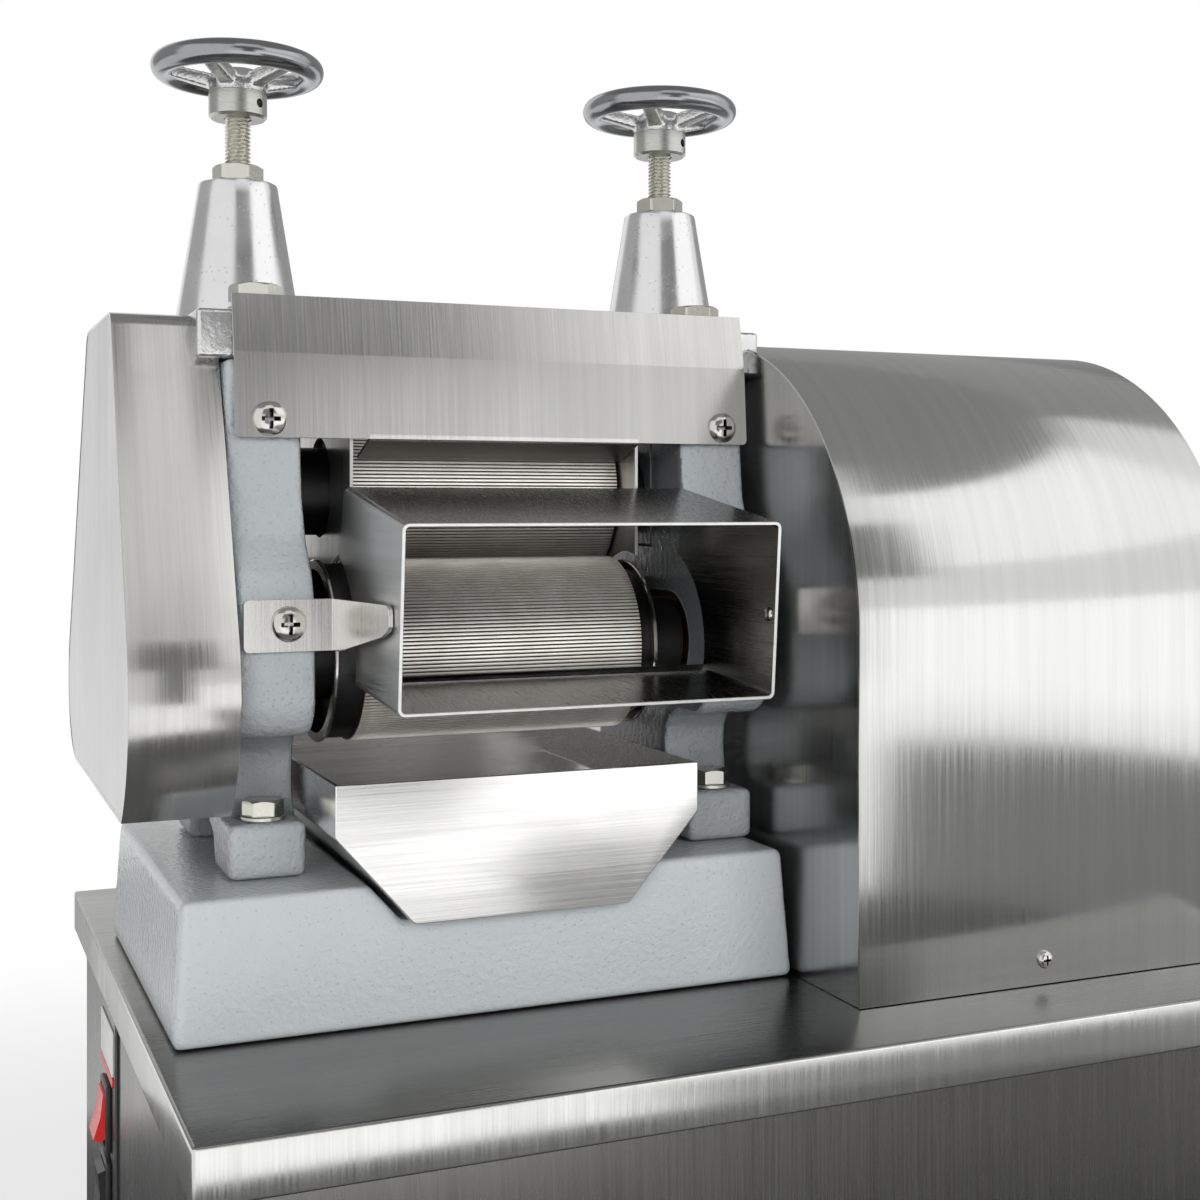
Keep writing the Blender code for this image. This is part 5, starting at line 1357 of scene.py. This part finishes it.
def make_tower_bolts(side):
    """Two cap bolts on each flange, ahead of and behind the post."""
    x = SCREW_X[side]
    seat = low(f"{side}_screw_tower").z + 17.5 * MM
    for end, y in (("front", PRESS_Y - 34 * MM), ("rear", PRESS_Y + 34 * MM)):
        rim = [(seat - 1 * MM, 10 * MM), (seat + 1.8 * MM, 10 * MM), (seat + 2 * MM, 9.8 * MM)]
        washer = turned("Z", (x, y), rim, 48)
        spring = turned("Z", (x, y), [(seat + 1.9 * MM, 8.3 * MM), (seat + 4.2 * MM, 8.3 * MM)], 48)
        add(f"{side}_cap_washer_{end}", weld(washer, spring), "zinc", f"{side}_screw_tower")
        head = hex_body("Z", (x, y), 17 * MM, seat + 4.1 * MM, seat + 10.4 * MM, math.radians(12), both=False)
        add(f"{side}_cap_bolt_{end}", head, "zinc", f"{side}_screw_tower")


def make_lock_nut(side):
    node = f"{side}_lock_nut"
    a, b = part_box(node)
    centre = (SCREW_X[side], PRESS_Y)
    nut = hex_body("Z", centre, 17 * MM, a.z, b.z, math.radians(12), bore=5.6 * MM)
    add(f"{side}_nut", nut, "zinc", node, [node])


for side in ("left", "right"):
    make_tower(side)
    make_tower_bolts(side)
    make_lock_nut(side)

# %% [markdown]
# ### Threaded spindles
#
# The thread is a coarse 1.5 mm pitch. It is made on a grid of angles and heights: each point's radius
# follows a triangle wave of its height less its share of one pitch for its angle, which is a helix.

# %% Spindle thread
PITCH = 1.5 * MM


def thread_radius(height, turn, crest, depth):
    phase = (height / PITCH - turn / (2 * math.pi)) % 1.0
    wave = abs(2 * phase - 1)
    return crest - depth * min(1.0, max(0.0, wave * 1.25 - 0.12))


def make_spindle(side):
    node = f"{side}_spindle"
    a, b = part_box(node)
    x = SCREW_X[side]
    start = low(f"{side}_lock_nut").z - 12 * MM
    finish = low(f"{side}_handwheel").z + 2 * MM
    crest, around = (b.x - a.x) / 2, 40
    shape = bmesh.new()
    heights = [start + (finish - start) * i / 200 for i in range(201)]
    rings = [[(a.z, crest * 0.9)] * around, [(start - 0.1 * MM, crest * 0.9)] * around]
    for height in heights:
        turns = [2 * math.pi * i / around for i in range(around)]
        rings.append([(height, thread_radius(height, turn, crest, 0.95 * MM)) for turn in turns])
    rings.append([(finish + 0.1 * MM, crest - 0.2 * MM)] * around)
    rings.append([(b.z - 1 * MM, crest - 0.2 * MM)] * around)
    rings.append([(b.z, crest - 1.2 * MM)] * around)
    placed = []
    for ring in rings:
        placed.append([
            shape.verts.new((
                x + reach * math.cos(2 * math.pi * i / around),
                PRESS_Y + reach * math.sin(2 * math.pi * i / around),
                height,
            )) for i, (height, reach) in enumerate(ring)
        ])
    join_rings(shape, placed)
    add(f"{side}_threaded_spindle", shape, "zinc", node, [node], crease=50)


for side in ("left", "right"):
    make_spindle(side)
dress("steel_upright", "left_pressure_pad", "right_pressure_pad", roll=0.4 * MM)

# %% [markdown]
# ### Handwheels
#
# A handwheel is one casting: a hub, five spokes that climb to the rim, and a heavy round rim. Only the
# rim was polished. So the rim is a smooth ring of its own in a dark mirror finish, and hub and spokes are
# melted together like the base and get the rough plated finish. The hub's side is turned, with a hole for
# the set screw.

# %% Handwheels
SPOKES = 5


def ring_solid(centre, z, radius, thickness, around=112, about=24):
    """A round ring about the Z axis."""
    shape = bmesh.new()
    rings = []
    for i in range(around):
        swing = 2 * math.pi * i / around
        ring = []
        for j in range(about):
            roll = 2 * math.pi * j / about
            reach = radius + thickness * math.cos(roll)
            place = (
                centre[0] + reach * math.cos(swing),
                centre[1] + reach * math.sin(swing),
                z + thickness * math.sin(roll),
            )
            ring.append(shape.verts.new(place))
        rings.append(ring)
    return join_rings(shape, rings, closed=True)


def spoke_solid(centre, swing, stations):
    """An arm through stations of (reach, height, half width, half thickness), pointing at an angle."""
    along = Vector((math.cos(swing), math.sin(swing), 0))
    across = Vector((-math.sin(swing), math.cos(swing), 0))
    shape = bmesh.new()
    rings = []
    for reach, height, wide, thick in stations:
        place = Vector((centre[0], centre[1], height)) + along * reach
        corners = ((wide, thick), (-wide, thick), (-wide * 0.8, -thick), (wide * 0.8, -thick))
        rings.append([shape.verts.new(place + across * p + Vector((0, 0, q))) for p, q in corners])
    return join_rings(shape, rings)


def make_handwheel(side):
    node = f"{side}_handwheel"
    a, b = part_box(node)
    centre = (SCREW_X[side], PRESS_Y)
    thickness = 4.6 * MM
    radius = (b.x - a.x) / 2 - thickness
    rim_z = b.z - thickness
    hub_r, hub_top = 11 * MM, a.z + 18.5 * MM
    rim = ring_solid(centre, rim_z, radius, thickness)
    add(f"{side}_wheel_rim", rim, "rim_chrome", node, [node])
    arms = []
    for i in range(SPOKES):
        swing = 2 * math.pi * (i + 0.25) / SPOKES
        arms.append(spoke_solid(centre, swing, [
            (hub_r - 5 * MM, hub_top - 5.2 * MM, 4.6 * MM, 2.8 * MM),
            (hub_r + 1 * MM, hub_top - 3.6 * MM, 3.8 * MM, 2.6 * MM),
            (radius - 5 * MM, rim_z - 1.6 * MM, 3.3 * MM, 2.2 * MM),
            (radius + 0.5 * MM, rim_z, 3.6 * MM, 2.2 * MM),
        ]))
    crown = turned("Z", centre, [
        (a.z + 8 * MM, hub_r - 0.3 * MM), (hub_top - 4 * MM, hub_r - 0.3 * MM), (hub_top, hub_r - 3 * MM),
    ], 48)
    arms_and_crown = cast(weld(crown, *arms), 0.7 * MM, 3, 0.6)
    arms_and_crown = cut(arms_and_crown, rod("Z", centre, a.z - 1 * MM, hub_top + 5 * MM, 5.2 * MM))
    add(f"{side}_wheel_spokes", arms_and_crown, "cast_chrome", node, crease=60)
    hub = turned("Z", centre, [
        (a.z, 5.2 * MM), (a.z, hub_r - 1 * MM), (a.z + 1 * MM, hub_r), (a.z + 9.6 * MM, hub_r),
        (a.z + 10.2 * MM, hub_r - 0.6 * MM), (a.z + 10.2 * MM, 5.2 * MM),
    ], 96, closed=True)
    lean = math.radians(-52)
    direction = Vector((math.cos(lean), math.sin(lean), 0))
    hole = bmesh.new()
    side_way = Vector((-direction.y, direction.x, 0))
    rings = []
    for reach in (6 * MM, 14 * MM):
        middle = Vector((centre[0], centre[1], a.z + 5.2 * MM)) + direction * reach
        rings.append([
            hole.verts.new(
                middle + side_way * 1.7 * MM * math.cos(turn) + Vector((0, 0, 1.7 * MM * math.sin(turn)))
            ) for turn in (2 * math.pi * i / 20 for i in range(20))
        ])
    hub = cut(hub, join_rings(hole, rings))
    add(f"{side}_wheel_hub", hub, "steel_upright", node)
    return radius


for side in ("left", "right"):
    reach = make_handwheel(side)
print("rim radius", round(reach, 4), "spokes", SPOKES)

# %% [markdown]
# ## Rollers
#
# The rollers' teeth are fine: 150 to a turn, with a flat land and a V groove. They are modelled, since
# the row of light and dark lines is the most striking texture on the machine, and it runs right up to a
# dark neck and a thin bright rim at each end. The outline repeats one tooth round the circle.

# %% Fluted rollers
FLUTES = 150
FLUTE_DEPTH = 0.95 * MM


def fluted_outline(centre, radius):
    outline = []
    step = 2 * math.pi / FLUTES
    for tooth in range(FLUTES):
        for share, sink in ((-0.28, 0.06), (0.0, 0.0), (0.28, 0.06), (0.44, 1.0), (0.56, 1.0)):
            turn = step * (tooth + share)
            reach = radius - FLUTE_DEPTH * sink
            outline.append((centre.y + reach * math.cos(turn), centre.z + reach * math.sin(turn)))
    return outline


FLUTES_L = high("left_cheek").x + 1.2 * MM
FLUTES_R = low("right_cheek").x - 1.2 * MM
ROLLER_R = (high("top_roller").z - low("top_roller").z) / 2
LOWER_ENDS = (FLUTES_L - 2 * MM, FLUTES_R - 6.3 * MM)
ROLLER_ENDS = {"top": (FLUTES_L, FLUTES_R), "front": LOWER_ENDS, "rear": LOWER_ENDS}
for name, axis in (("top", TOP_AXIS), ("front", FRONT_AXIS), ("rear", REAR_AXIS)):
    finish = fluted_steel(f"{name}_roller_flutes", axis, ROLLER_R, FLUTE_DEPTH, ROLLER_ENDS[name])
    MATERIALS[f"{name}_flutes"] = finish


def make_roller(name, axis):
    node = f"{name}_roller"
    a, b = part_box(node)
    centre = (axis.y, axis.z)
    start, end = ROLLER_ENDS[name]
    drum = softened(pushed("X", fluted_outline(axis, ROLLER_R), start, end), 0.2 * MM, 1, 80)
    add(f"{name}_fluted_drum", drum, f"{name}_flutes", node, [node], crease=20)
    collar = 17 * MM
    if name == "top":
        profile = [(a.x, 12.7 * MM), (a.x, collar - 1 * MM), (a.x + 1 * MM, collar), (b.x - 1 * MM, collar)]
        profile += [(b.x, collar - 1 * MM), (b.x, 12.7 * MM)]
        # The collars are near-black as painted shade, for the shadow between frame and roller.
        add("top_roller_collars", turned("X", centre, profile, 64, closed=True), "black_iron", node)
        return
    left_neck, right_neck, rim = ROLLER_R - 1.5 * MM, 28 * MM, 1.5 * MM
    left, right = FLUTES_L - 12 * MM, FLUTES_R - 0.3 * MM
    body = [
        (a.x, 12.7 * MM), (a.x, collar - 1 * MM), (a.x + 1 * MM, collar), (left - rim, collar),
        (left + 3 * MM, collar + 1 * MM), (left + 3 * MM, left_neck - 3 * MM), (left - 0.2 * MM, left_neck),
        (start + 1 * MM, left_neck), (end - 1 * MM, right_neck), (right + 0.2 * MM, right_neck),
        (right + rim, collar), (b.x - 1 * MM, collar), (b.x, collar - 1 * MM), (b.x, 12.7 * MM),
    ]
    # The neck is near-black as painted shade, for the shadow between frame and roller.
    add(f"{name}_roller_neck", turned("X", centre, body, 64, closed=True), "black_iron", node)
    for side, near, reach in (("left", left - rim, ROLLER_R), ("right", right, ROLLER_R - 1.6 * MM)):
        inner = reach - 3.5 * MM
        lip = [
            (near, inner), (near, reach - 0.4 * MM), (near + 0.4 * MM, reach), (near + rim - 0.4 * MM, reach),
            (near + rim, reach - 0.4 * MM), (near + rim, inner),
        ]
        add(f"{name}_roller_{side}_rim", turned("X", centre, lip, 96, closed=True), "screw", node)
    place = (axis.y - 20 * MM, axis.z + 2 * MM)
    stub = hex_body("X", place, 5 * MM, right + 0.8 * MM, right + 4.5 * MM, both=False)
    add(f"{name}_roller_rim_screw", stub, "screw", node)


for name, axis in (("top", TOP_AXIS), ("front", FRONT_AXIS), ("rear", REAR_AXIS)):
    make_roller(name, axis)
SETS = ("top", "front", "rear")
dress("steel", *[f"{name}_shaft" for name in SETS], *[f"{name}_roller_gear" for name in SETS])
dress("steel", "bull_gear", "pinion_shaft", "cane_turner")
dress("black_iron", "driven_pulley", "motor_pulley")
dress("belt", "drive_belt")
dress("paint", "pinion_bracket", "gear_motor", roll=0.8 * MM)
print("drum faces:", FLUTES * 5)

# %% [markdown]
# ## Guard plate
#
# The guard is one strip of sheet folded along its length: the upper part leans back, the lower part hangs
# nearly upright, and between the frames a flap folds in towards the top roller. The flap is narrower than
# the guard and darker behind its fold, so it is a piece of its own. Drawn edge-on, the guard is a
# short path with a thickness; the bend radius goes on that path, so inside and outside of the bend differ
# by the sheet's thickness, as in a press brake.

# %% Guard
GUARD_BEND = 1.3 * MM
FLAP_HALF = 53.5 * MM


def corner_cutter(axis, corner, inwards, radius, start, end):
    """What is cut from a square corner to round it; inwards is (+-1, +-1), the way into the sheet."""
    (a, b), (u, v) = corner, inwards
    past = 1 * MM
    outline = [(a - u * past, b - v * past), (a + u * radius, b - v * past)]
    for step in range(7):
        turn = math.radians(90 * step / 6)
        outline.append((a + u * radius * (1 - math.sin(turn)), b + v * radius * (1 - math.cos(turn))))
    outline.append((a - u * past, b + v * radius))
    return pushed(axis, outline, start, end)


def make_guard():
    a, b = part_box("guard_plate")
    face = PRESS_Y - 49 * MM - 0.3 * MM - SHEET
    fold_z = TOP_AXIS.z + 49.2 * MM
    edge_z = TOP_AXIS.z + 18.7 * MM
    edge_y = face - 2.2 * MM
    path = [(face + 4.2 * MM, b.z), (face, fold_z), (edge_y, edge_z)]
    strip = pushed("X", sheet_edge(path, SHEET, GUARD_BEND, 5), a.x, b.x)
    span = (face - 9 * MM, face + 9 * MM)
    strip = cut(
        strip,
        corner_cutter("Y", (a.x, edge_z), (1, 1), 2 * MM, *span),
        corner_cutter("Y", (b.x, edge_z), (-1, 1), 2 * MM, *span),
    )
    add("folded_guard", softened(strip, 0.25 * MM, 1, 60), "guard", "guard_plate", ["guard_plate"])
    middle = PRESS_X + 2.2 * MM
    flap_y, flap_z = high("guard_plate").y - SHEET, a.z + 0.4 * MM
    fold_y = edge_y - 0.06 * MM
    path = [(fold_y, edge_z + 1.6 * MM), (fold_y, edge_z - 0.5 * MM), (flap_y, flap_z)]
    shape = pushed("X", sheet_edge(path, SHEET, 1.1 * MM, 5), middle - FLAP_HALF, middle + FLAP_HALF)
    flap = add("guard_flap", softened(shape, 0.2 * MM, 1, 60), "guard", "guard_plate")
    flap.data.materials.append(MATERIALS["smudged"])
    for panel in flap.data.polygons:
        if panel.center.y > fold_y + 1.4 * MM:
            panel.material_index = 1


# A darker copy of the stainless for the flap behind its fold.
MATERIALS["smudged"] = brushed_sheet("smudged_stainless", ALONG_X, (0.17, 0.16, 0.145), 0.42, 0.3, 0.2, 1.0)
MATERIALS["guard"] = brushed_sheet("guard_stainless", ROUND_X, (0.58, 0.575, 0.56), 0.20, 0.5, 0.05, 0.4)
make_guard()


def make_guard_screws():
    """A pan-head screw on a plain washer near each lower corner of the guard."""
    face = PRESS_Y - 49 * MM - 0.3 * MM - SHEET
    z = TOP_AXIS.z + 25.2 * MM
    y = face - 1.75 * MM
    for side, x, radius in (("left", OUTER_L + 15.5 * MM, 6.4 * MM), ("right", OUTER_R - 11 * MM, 6.0 * MM)):
        add_screw(f"guard_screw_{side}", "Y", (x, z), y + 0.2 * MM, -1, radius, "guard_plate")


make_guard_screws()
print("guard from", round(low("guard_plate").x, 4), "to", round(high("guard_plate").x, 4))

# %% [markdown]
# ## Cheeks, scraper and feed chute
#
# The cheeks, the scraper and the chute are plain folded sheet. The chute is a four-sided funnel whose
# corners are folded, not mitred, so its outline in the mouth has small radii. It is made as an outer and
# an inner solid, one cut from the other, and the roller's clearance is cut from both. It wears a bright and
# a dark copy of one finish: painted light on its outer left wall and front edges, painted shade on the rest.

# %% Cheeks and chute
CHUTE_LEAN = math.radians(5)
FLOOR_SLOPE = math.radians(4.3)
ROOF_SLOPE = math.radians(9.3)
MOUTH_H = 62.5 * MM


def chute_solid(shrink, reach, radius):
    """A tapered tube: rounded rectangles at the mouth and at the throat, joined by quads."""
    a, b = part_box("feed_chute")
    lip_y = a.y + MOUTH_H * math.sin(CHUTE_LEAN)
    lip_z = a.z
    shape = bmesh.new()
    rings = []
    for share in (-reach, 1 + reach):
        floor_run, roof_run = 88.7 * MM * share, 75.5 * MM * share
        brow_y, brow_z = lip_y - MOUTH_H * math.sin(CHUTE_LEAN), lip_z + MOUTH_H * math.cos(CHUTE_LEAN)
        floor_y, floor_z = lip_y + floor_run, lip_z + floor_run * math.tan(FLOOR_SLOPE) + shrink
        roof_y, roof_z = brow_y + roof_run, brow_z + roof_run * math.tan(ROOF_SLOPE) - shrink
        x0, x1 = a.x + shrink, b.x - shrink
        ring = []
        for x, level in rounded([(x0, 0), (x1, 0), (x1, MOUTH_H), (x0, MOUTH_H)], radius, 4):
            part = level / MOUTH_H
            y = floor_y + (roof_y - floor_y) * part
            z = floor_z + (roof_z - floor_z) * part
            ring.append(shape.verts.new((x, y, z)))
        rings.append(ring)
    return join_rings(shape, rings)


# A bright and a dark copy of the chute's stainless: painted light and painted shade.
for key, place, colour, roughness in (
    ("chute_painted_light", "outside", (0.80, 0.80, 0.78), 0.34),
    ("chute_painted_shade", "inside", (0.22, 0.22, 0.212), 0.24),
):
    MATERIALS[key] = brushed_sheet(f"chute_{place}_stainless", ALONG_Y, colour, roughness, 0.3, 0.1, 0.5)


def make_chute():
    a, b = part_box("feed_chute")
    shape = cut(
        chute_solid(0, 0, 2.4 * MM), chute_solid(SHEET, 0.12, 1.4 * MM),
        rod("X", (FRONT_AXIS.y, FRONT_AXIS.z), a.x - 9 * MM, b.x + 9 * MM, ROLLER_R + 3 * MM, 96),
    )
    chute = add("folded_chute", softened(shape, 0.2 * MM, 1, 70), "chute_painted_light", "feed_chute", ["feed_chute"])
    chute.data.materials.append(MATERIALS["chute_painted_shade"])
    # The outer left wall and the front-facing faces keep the bright copy as painted light; the rest take the dark
    # copy as painted shade.
    for panel in chute.data.polygons:
        outside_left = panel.normal.x < -0.7 and panel.center.x < a.x + SHEET / 2
        if not outside_left and panel.normal.y > -0.5:
            panel.material_index = 1


def dome_rivet(name, axis, centre, face, way, radius, like, finish="screw"):
    profile = [(face - way * 0.2 * MM, radius)]
    for step in range(1, 8):
        lean = math.radians(90 * step / 8)
        profile.append((face + way * radius * 0.55 * math.sin(lean), radius * math.cos(lean)))
    profile[-1] = (face + way * radius * 0.55, radius * 0.05)
    add(name, turned(axis, centre, profile, 32), finish, like)


make_chute()
chute_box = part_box("feed_chute")
for side, face, outward in (("left", chute_box[0].x, -1), ("right", chute_box[1].x, 1)):
    y = chute_box[0].y + (14.5 if side == "left" else 7.5) * MM
    z = DECK + 142 * MM
    dome_rivet(f"chute_rivet_{side}_outside", "X", (y, z), face, outward, 2.6 * MM, "feed_chute")
    inside = face - outward * SHEET
    dome_rivet(f"chute_rivet_{side}_inside", "X", (y, z), inside, -outward, 2.6 * MM, "feed_chute")
dress("sheet_up", "left_cheek", "right_cheek", "rear_scraper", roll=0.25 * MM)
print("chute mouth", round(chute_box[1].x - chute_box[0].x, 4), "wide")

# %% [markdown]
# ### Chute brackets
#
# Each bracket is an angle: a tab screwed to the frame's belly and a strip along the chute's side, with a
# rounded bend between them.

# %% Brackets


def make_bracket(side):
    """A tab on the frame and a gusset that runs forward, narrowing to the rivet in the chute's wall."""
    node = f"{side}_chute_bracket"
    a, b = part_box(node)
    way = 1 if side == "left" else -1
    tab_x, wall_x = (a.x, b.x) if side == "left" else (b.x, a.x)
    bend_x = wall_x - way * 6.5 * MM
    tip_y, tab_y = a.y + 2 * MM, b.y
    path = [(wall_x, tip_y), (bend_x, tab_y), (tab_x, tab_y)]
    if side == "right":
        path.reverse()
    shape = pushed("Z", sheet_edge(path, 1.5 * MM, 1.8 * MM, 5), a.z, b.z)
    near = (tab_y - 5 * MM, tab_y + 5 * MM)
    along = sorted((wall_x + way * 5 * MM, bend_x - way * 5 * MM))
    rise = [(tip_y - 3 * MM, a.z - 3 * MM), (tab_y - 5 * MM, a.z - 3 * MM), (tab_y - 7 * MM, a.z)]
    tip = ((6, 7.5), (1.5, 9.5), (-3, 14))
    rise += [(tip_y + run * MM, a.z + up * MM) for run, up in tip]
    shape = cut(
        shape,
        corner_cutter("Y", (tab_x, a.z), (way, 1), 2 * MM, *near),
        corner_cutter("Y", (tab_x, b.z), (way, -1), 2 * MM, *near),
        pushed("X", rise, *along),
        corner_cutter("X", (tip_y, b.z), (1, -1), 3 * MM, *along),
    )
    add(f"{side}_bracket_angle", softened(shape, 0.2 * MM, 1, 60), "tab", node, [node])
    middle_x = tab_x + way * 15.5 * MM
    centre = (middle_x, (a.z + b.z) / 2 + 0.5 * MM)
    add_screw(f"{side}_bracket_screw", "Y", centre, tab_y - 1.4 * MM, -1, 6.2 * MM, node)


MATERIALS["tab"] = brushed_sheet("bracket_stainless", ALONG_Z, (0.80, 0.79, 0.77), 0.24, 0.3, 0.05, 0.4)
for side in ("left", "right"):
    make_bracket(side)

# %% [markdown]
# ## Juice tray
#
# A drawer of sheet with a six-cornered front: welded corners that were ground round, so every outer edge
# has a small soft radius. The front is brushed by hand in arcs, which shows as diagonal streaks near its
# right end; this finish is brushed straight along X.

# %% Tray
# The tray's colour is set well above steel's own, as painted light: a painted reflection of the bright floor.
MATERIALS["tray"] = brushed_sheet("tray_stainless_painted_light", ALONG_X, (0.90, 0.895, 0.88), 0.20, 0.5, 0.08, 0.6)
TRAY_ROUND = 1.6 * MM


def make_tray():
    a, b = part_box("juice_tray")
    outline = rounded(tray_section(), [3 * MM, 3 * MM, 2 * MM, 0.4 * MM, 0.4 * MM, 2 * MM], 4)
    shape = softened(pushed("Y", outline, a.y, b.y), TRAY_ROUND, 4, 60)
    inner = []
    corners = tray_section()
    middle = Vector(((a.x + b.x) / 2, b.z))
    for x, z in corners[:4] + corners[4:]:
        way = 1 if x < middle.x else -1
        inset = SHEET * (1.0 if z > a.z + 1 * MM else 0.7)
        inner.append((x + way * inset, z + SHEET if z < b.z - 1 * MM else z + 9 * MM))
    inside = pushed("Y", rounded(inner, [2 * MM, 2 * MM, 1 * MM, 0, 0, 1 * MM], 3), a.y + SHEET, b.y - SHEET)
    shape = cut(shape, inside)
    return add("folded_juice_tray", shape, "tray", "juice_tray", ["juice_tray"], crease=30)


make_tray()
print("tray depth", round(high("juice_tray").y - low("juice_tray").y, 4))

# %% [markdown]
# ## Covers
#
# Each cover is a strip of sheet wrapped round a flat side plate and welded to it from inside, so the
# strip's own edge stands a hair proud of the plate. That thin edge catches the light all the way round. A
# single bevelled solid wouldn't show it, so strip and plate are two pieces.

# %% Gear cover


def wrapped_cover(name, outline, inner, x0, x1, plates, finish, plate_finish, node):
    """A strip between an outer and an inner outline, with side plates let into it."""
    strip = cut(pushed("X", outline, x0, x1), pushed("X", inner, x0 - 9 * MM, x1 + 9 * MM))
    add(f"{name}_wrap", softened(strip, 0.25 * MM, 2, 60), finish, node, [node], crease=25)
    for side, near, far in plates:
        plate = pushed("X", inner, near, far)
        add(f"{name}_{side}_plate", plate, plate_finish, node)


MATERIALS["pale_plate"] = brushed_sheet("pale_side_plate", ALONG_Z, (0.66, 0.66, 0.66), 0.32, 0.3, 0.05, 0.4)
MATERIALS["side_plate"] = brushed_sheet("cover_side_plate", ALONG_Z, (0.50, 0.50, 0.49), 0.17, 0.5, 0.12, 0.5)
MATERIALS["gear_wrap"] = brushed_sheet("gear_cover_wrap", ROUND_X, (0.56, 0.555, 0.54), 0.20, 0.5, 0.06, 0.6)


def trimmed_below(outline, floor):
    """What is left of a closed outline above a level."""
    kept = []
    for (a, b), (c, d) in zip(outline, outline[1:] + outline[:1]):
        if b >= floor:
            kept.append((a, b))
        if (b - floor) * (d - floor) < 0:
            part = (floor - b) / (d - b)
            kept.append((a + (c - a) * part, floor))
    return kept


def gear_cover_outline(inset=0.0):
    a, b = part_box("gear_cover")
    nose, rear = 55 * MM, 33 * MM
    outline = round_hull((
        (FRONT_AXIS.y + 9 * MM, b.z - 8 * MM, 8 * MM - inset),
        (REAR_AXIS.y + 2 * MM, b.z - 9.5 * MM, 9.5 * MM - inset),
        (b.y - rear, a.z + rear, rear - inset),
        (a.y + nose, a.z + 42 * MM, nose - inset),
    ), 96)
    return trimmed_below(outline, a.z + inset)


a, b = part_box("gear_cover")
plates = [("side", a.x + 0.25 * MM, a.x + 1.4 * MM)]
wrapped_cover(
    "gear_cover", gear_cover_outline(), gear_cover_outline(SHEET), a.x, b.x, plates,
    "gear_wrap", "pale_plate", "gear_cover",
)
print("gear cover", round(b.z - a.z, 4), "tall")

# %% Drive cover
ARCH_R = 113 * MM


def arch(inset=0.0, foot_drop=0.0):
    a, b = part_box("drive_cover")
    radius = ARCH_R - inset
    front, rear, top = a.y + inset, b.y - inset, b.z - inset
    points = [(rear, a.z - foot_drop)]
    points += arc((rear - radius, top - radius), radius, 0, 90, 40)
    points += arc((front + radius, top - radius), radius, 90, 180, 40)
    return points + [(front, a.z - foot_drop)]


def make_drive_cover():
    a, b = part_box("drive_cover")
    strip = cut(pushed("X", arch(), a.x, b.x), pushed("X", arch(SHEET, 9 * MM), a.x - 9 * MM, b.x + 9 * MM))
    wrap = softened(strip, 0.3 * MM, 2, 60)
    add("drive_cover_wrap", wrap, "cover", "drive_cover", ["drive_cover"], crease=25)
    hole = rod("X", (FRONT_AXIS.y, FRONT_AXIS.z), a.x - 9 * MM, a.x + 9 * MM, 14.5 * MM)
    left = cut(pushed("X", arch(SHEET), a.x + 0.5 * MM, a.x + 0.5 * MM + SHEET), hole)
    add("drive_cover_left_plate", left, "side_plate", "drive_cover")
    right = pushed("X", arch(SHEET), b.x - 0.5 * MM - SHEET, b.x - 0.5 * MM)
    add("drive_cover_right_plate", right, "side_plate", "drive_cover")
    z = DECK + 9.5 * MM
    x = a.x + 81 * MM
    for end, face, way in (("front", a.y, -1), ("rear", b.y, 1)):
        add_screw(f"drive_cover_screw_{end}", "Y", (x, z), face, way, 3.3 * MM, "drive_cover")


make_drive_cover()
print("drive cover", round(high("drive_cover").z - DECK, 4), "above the deck")

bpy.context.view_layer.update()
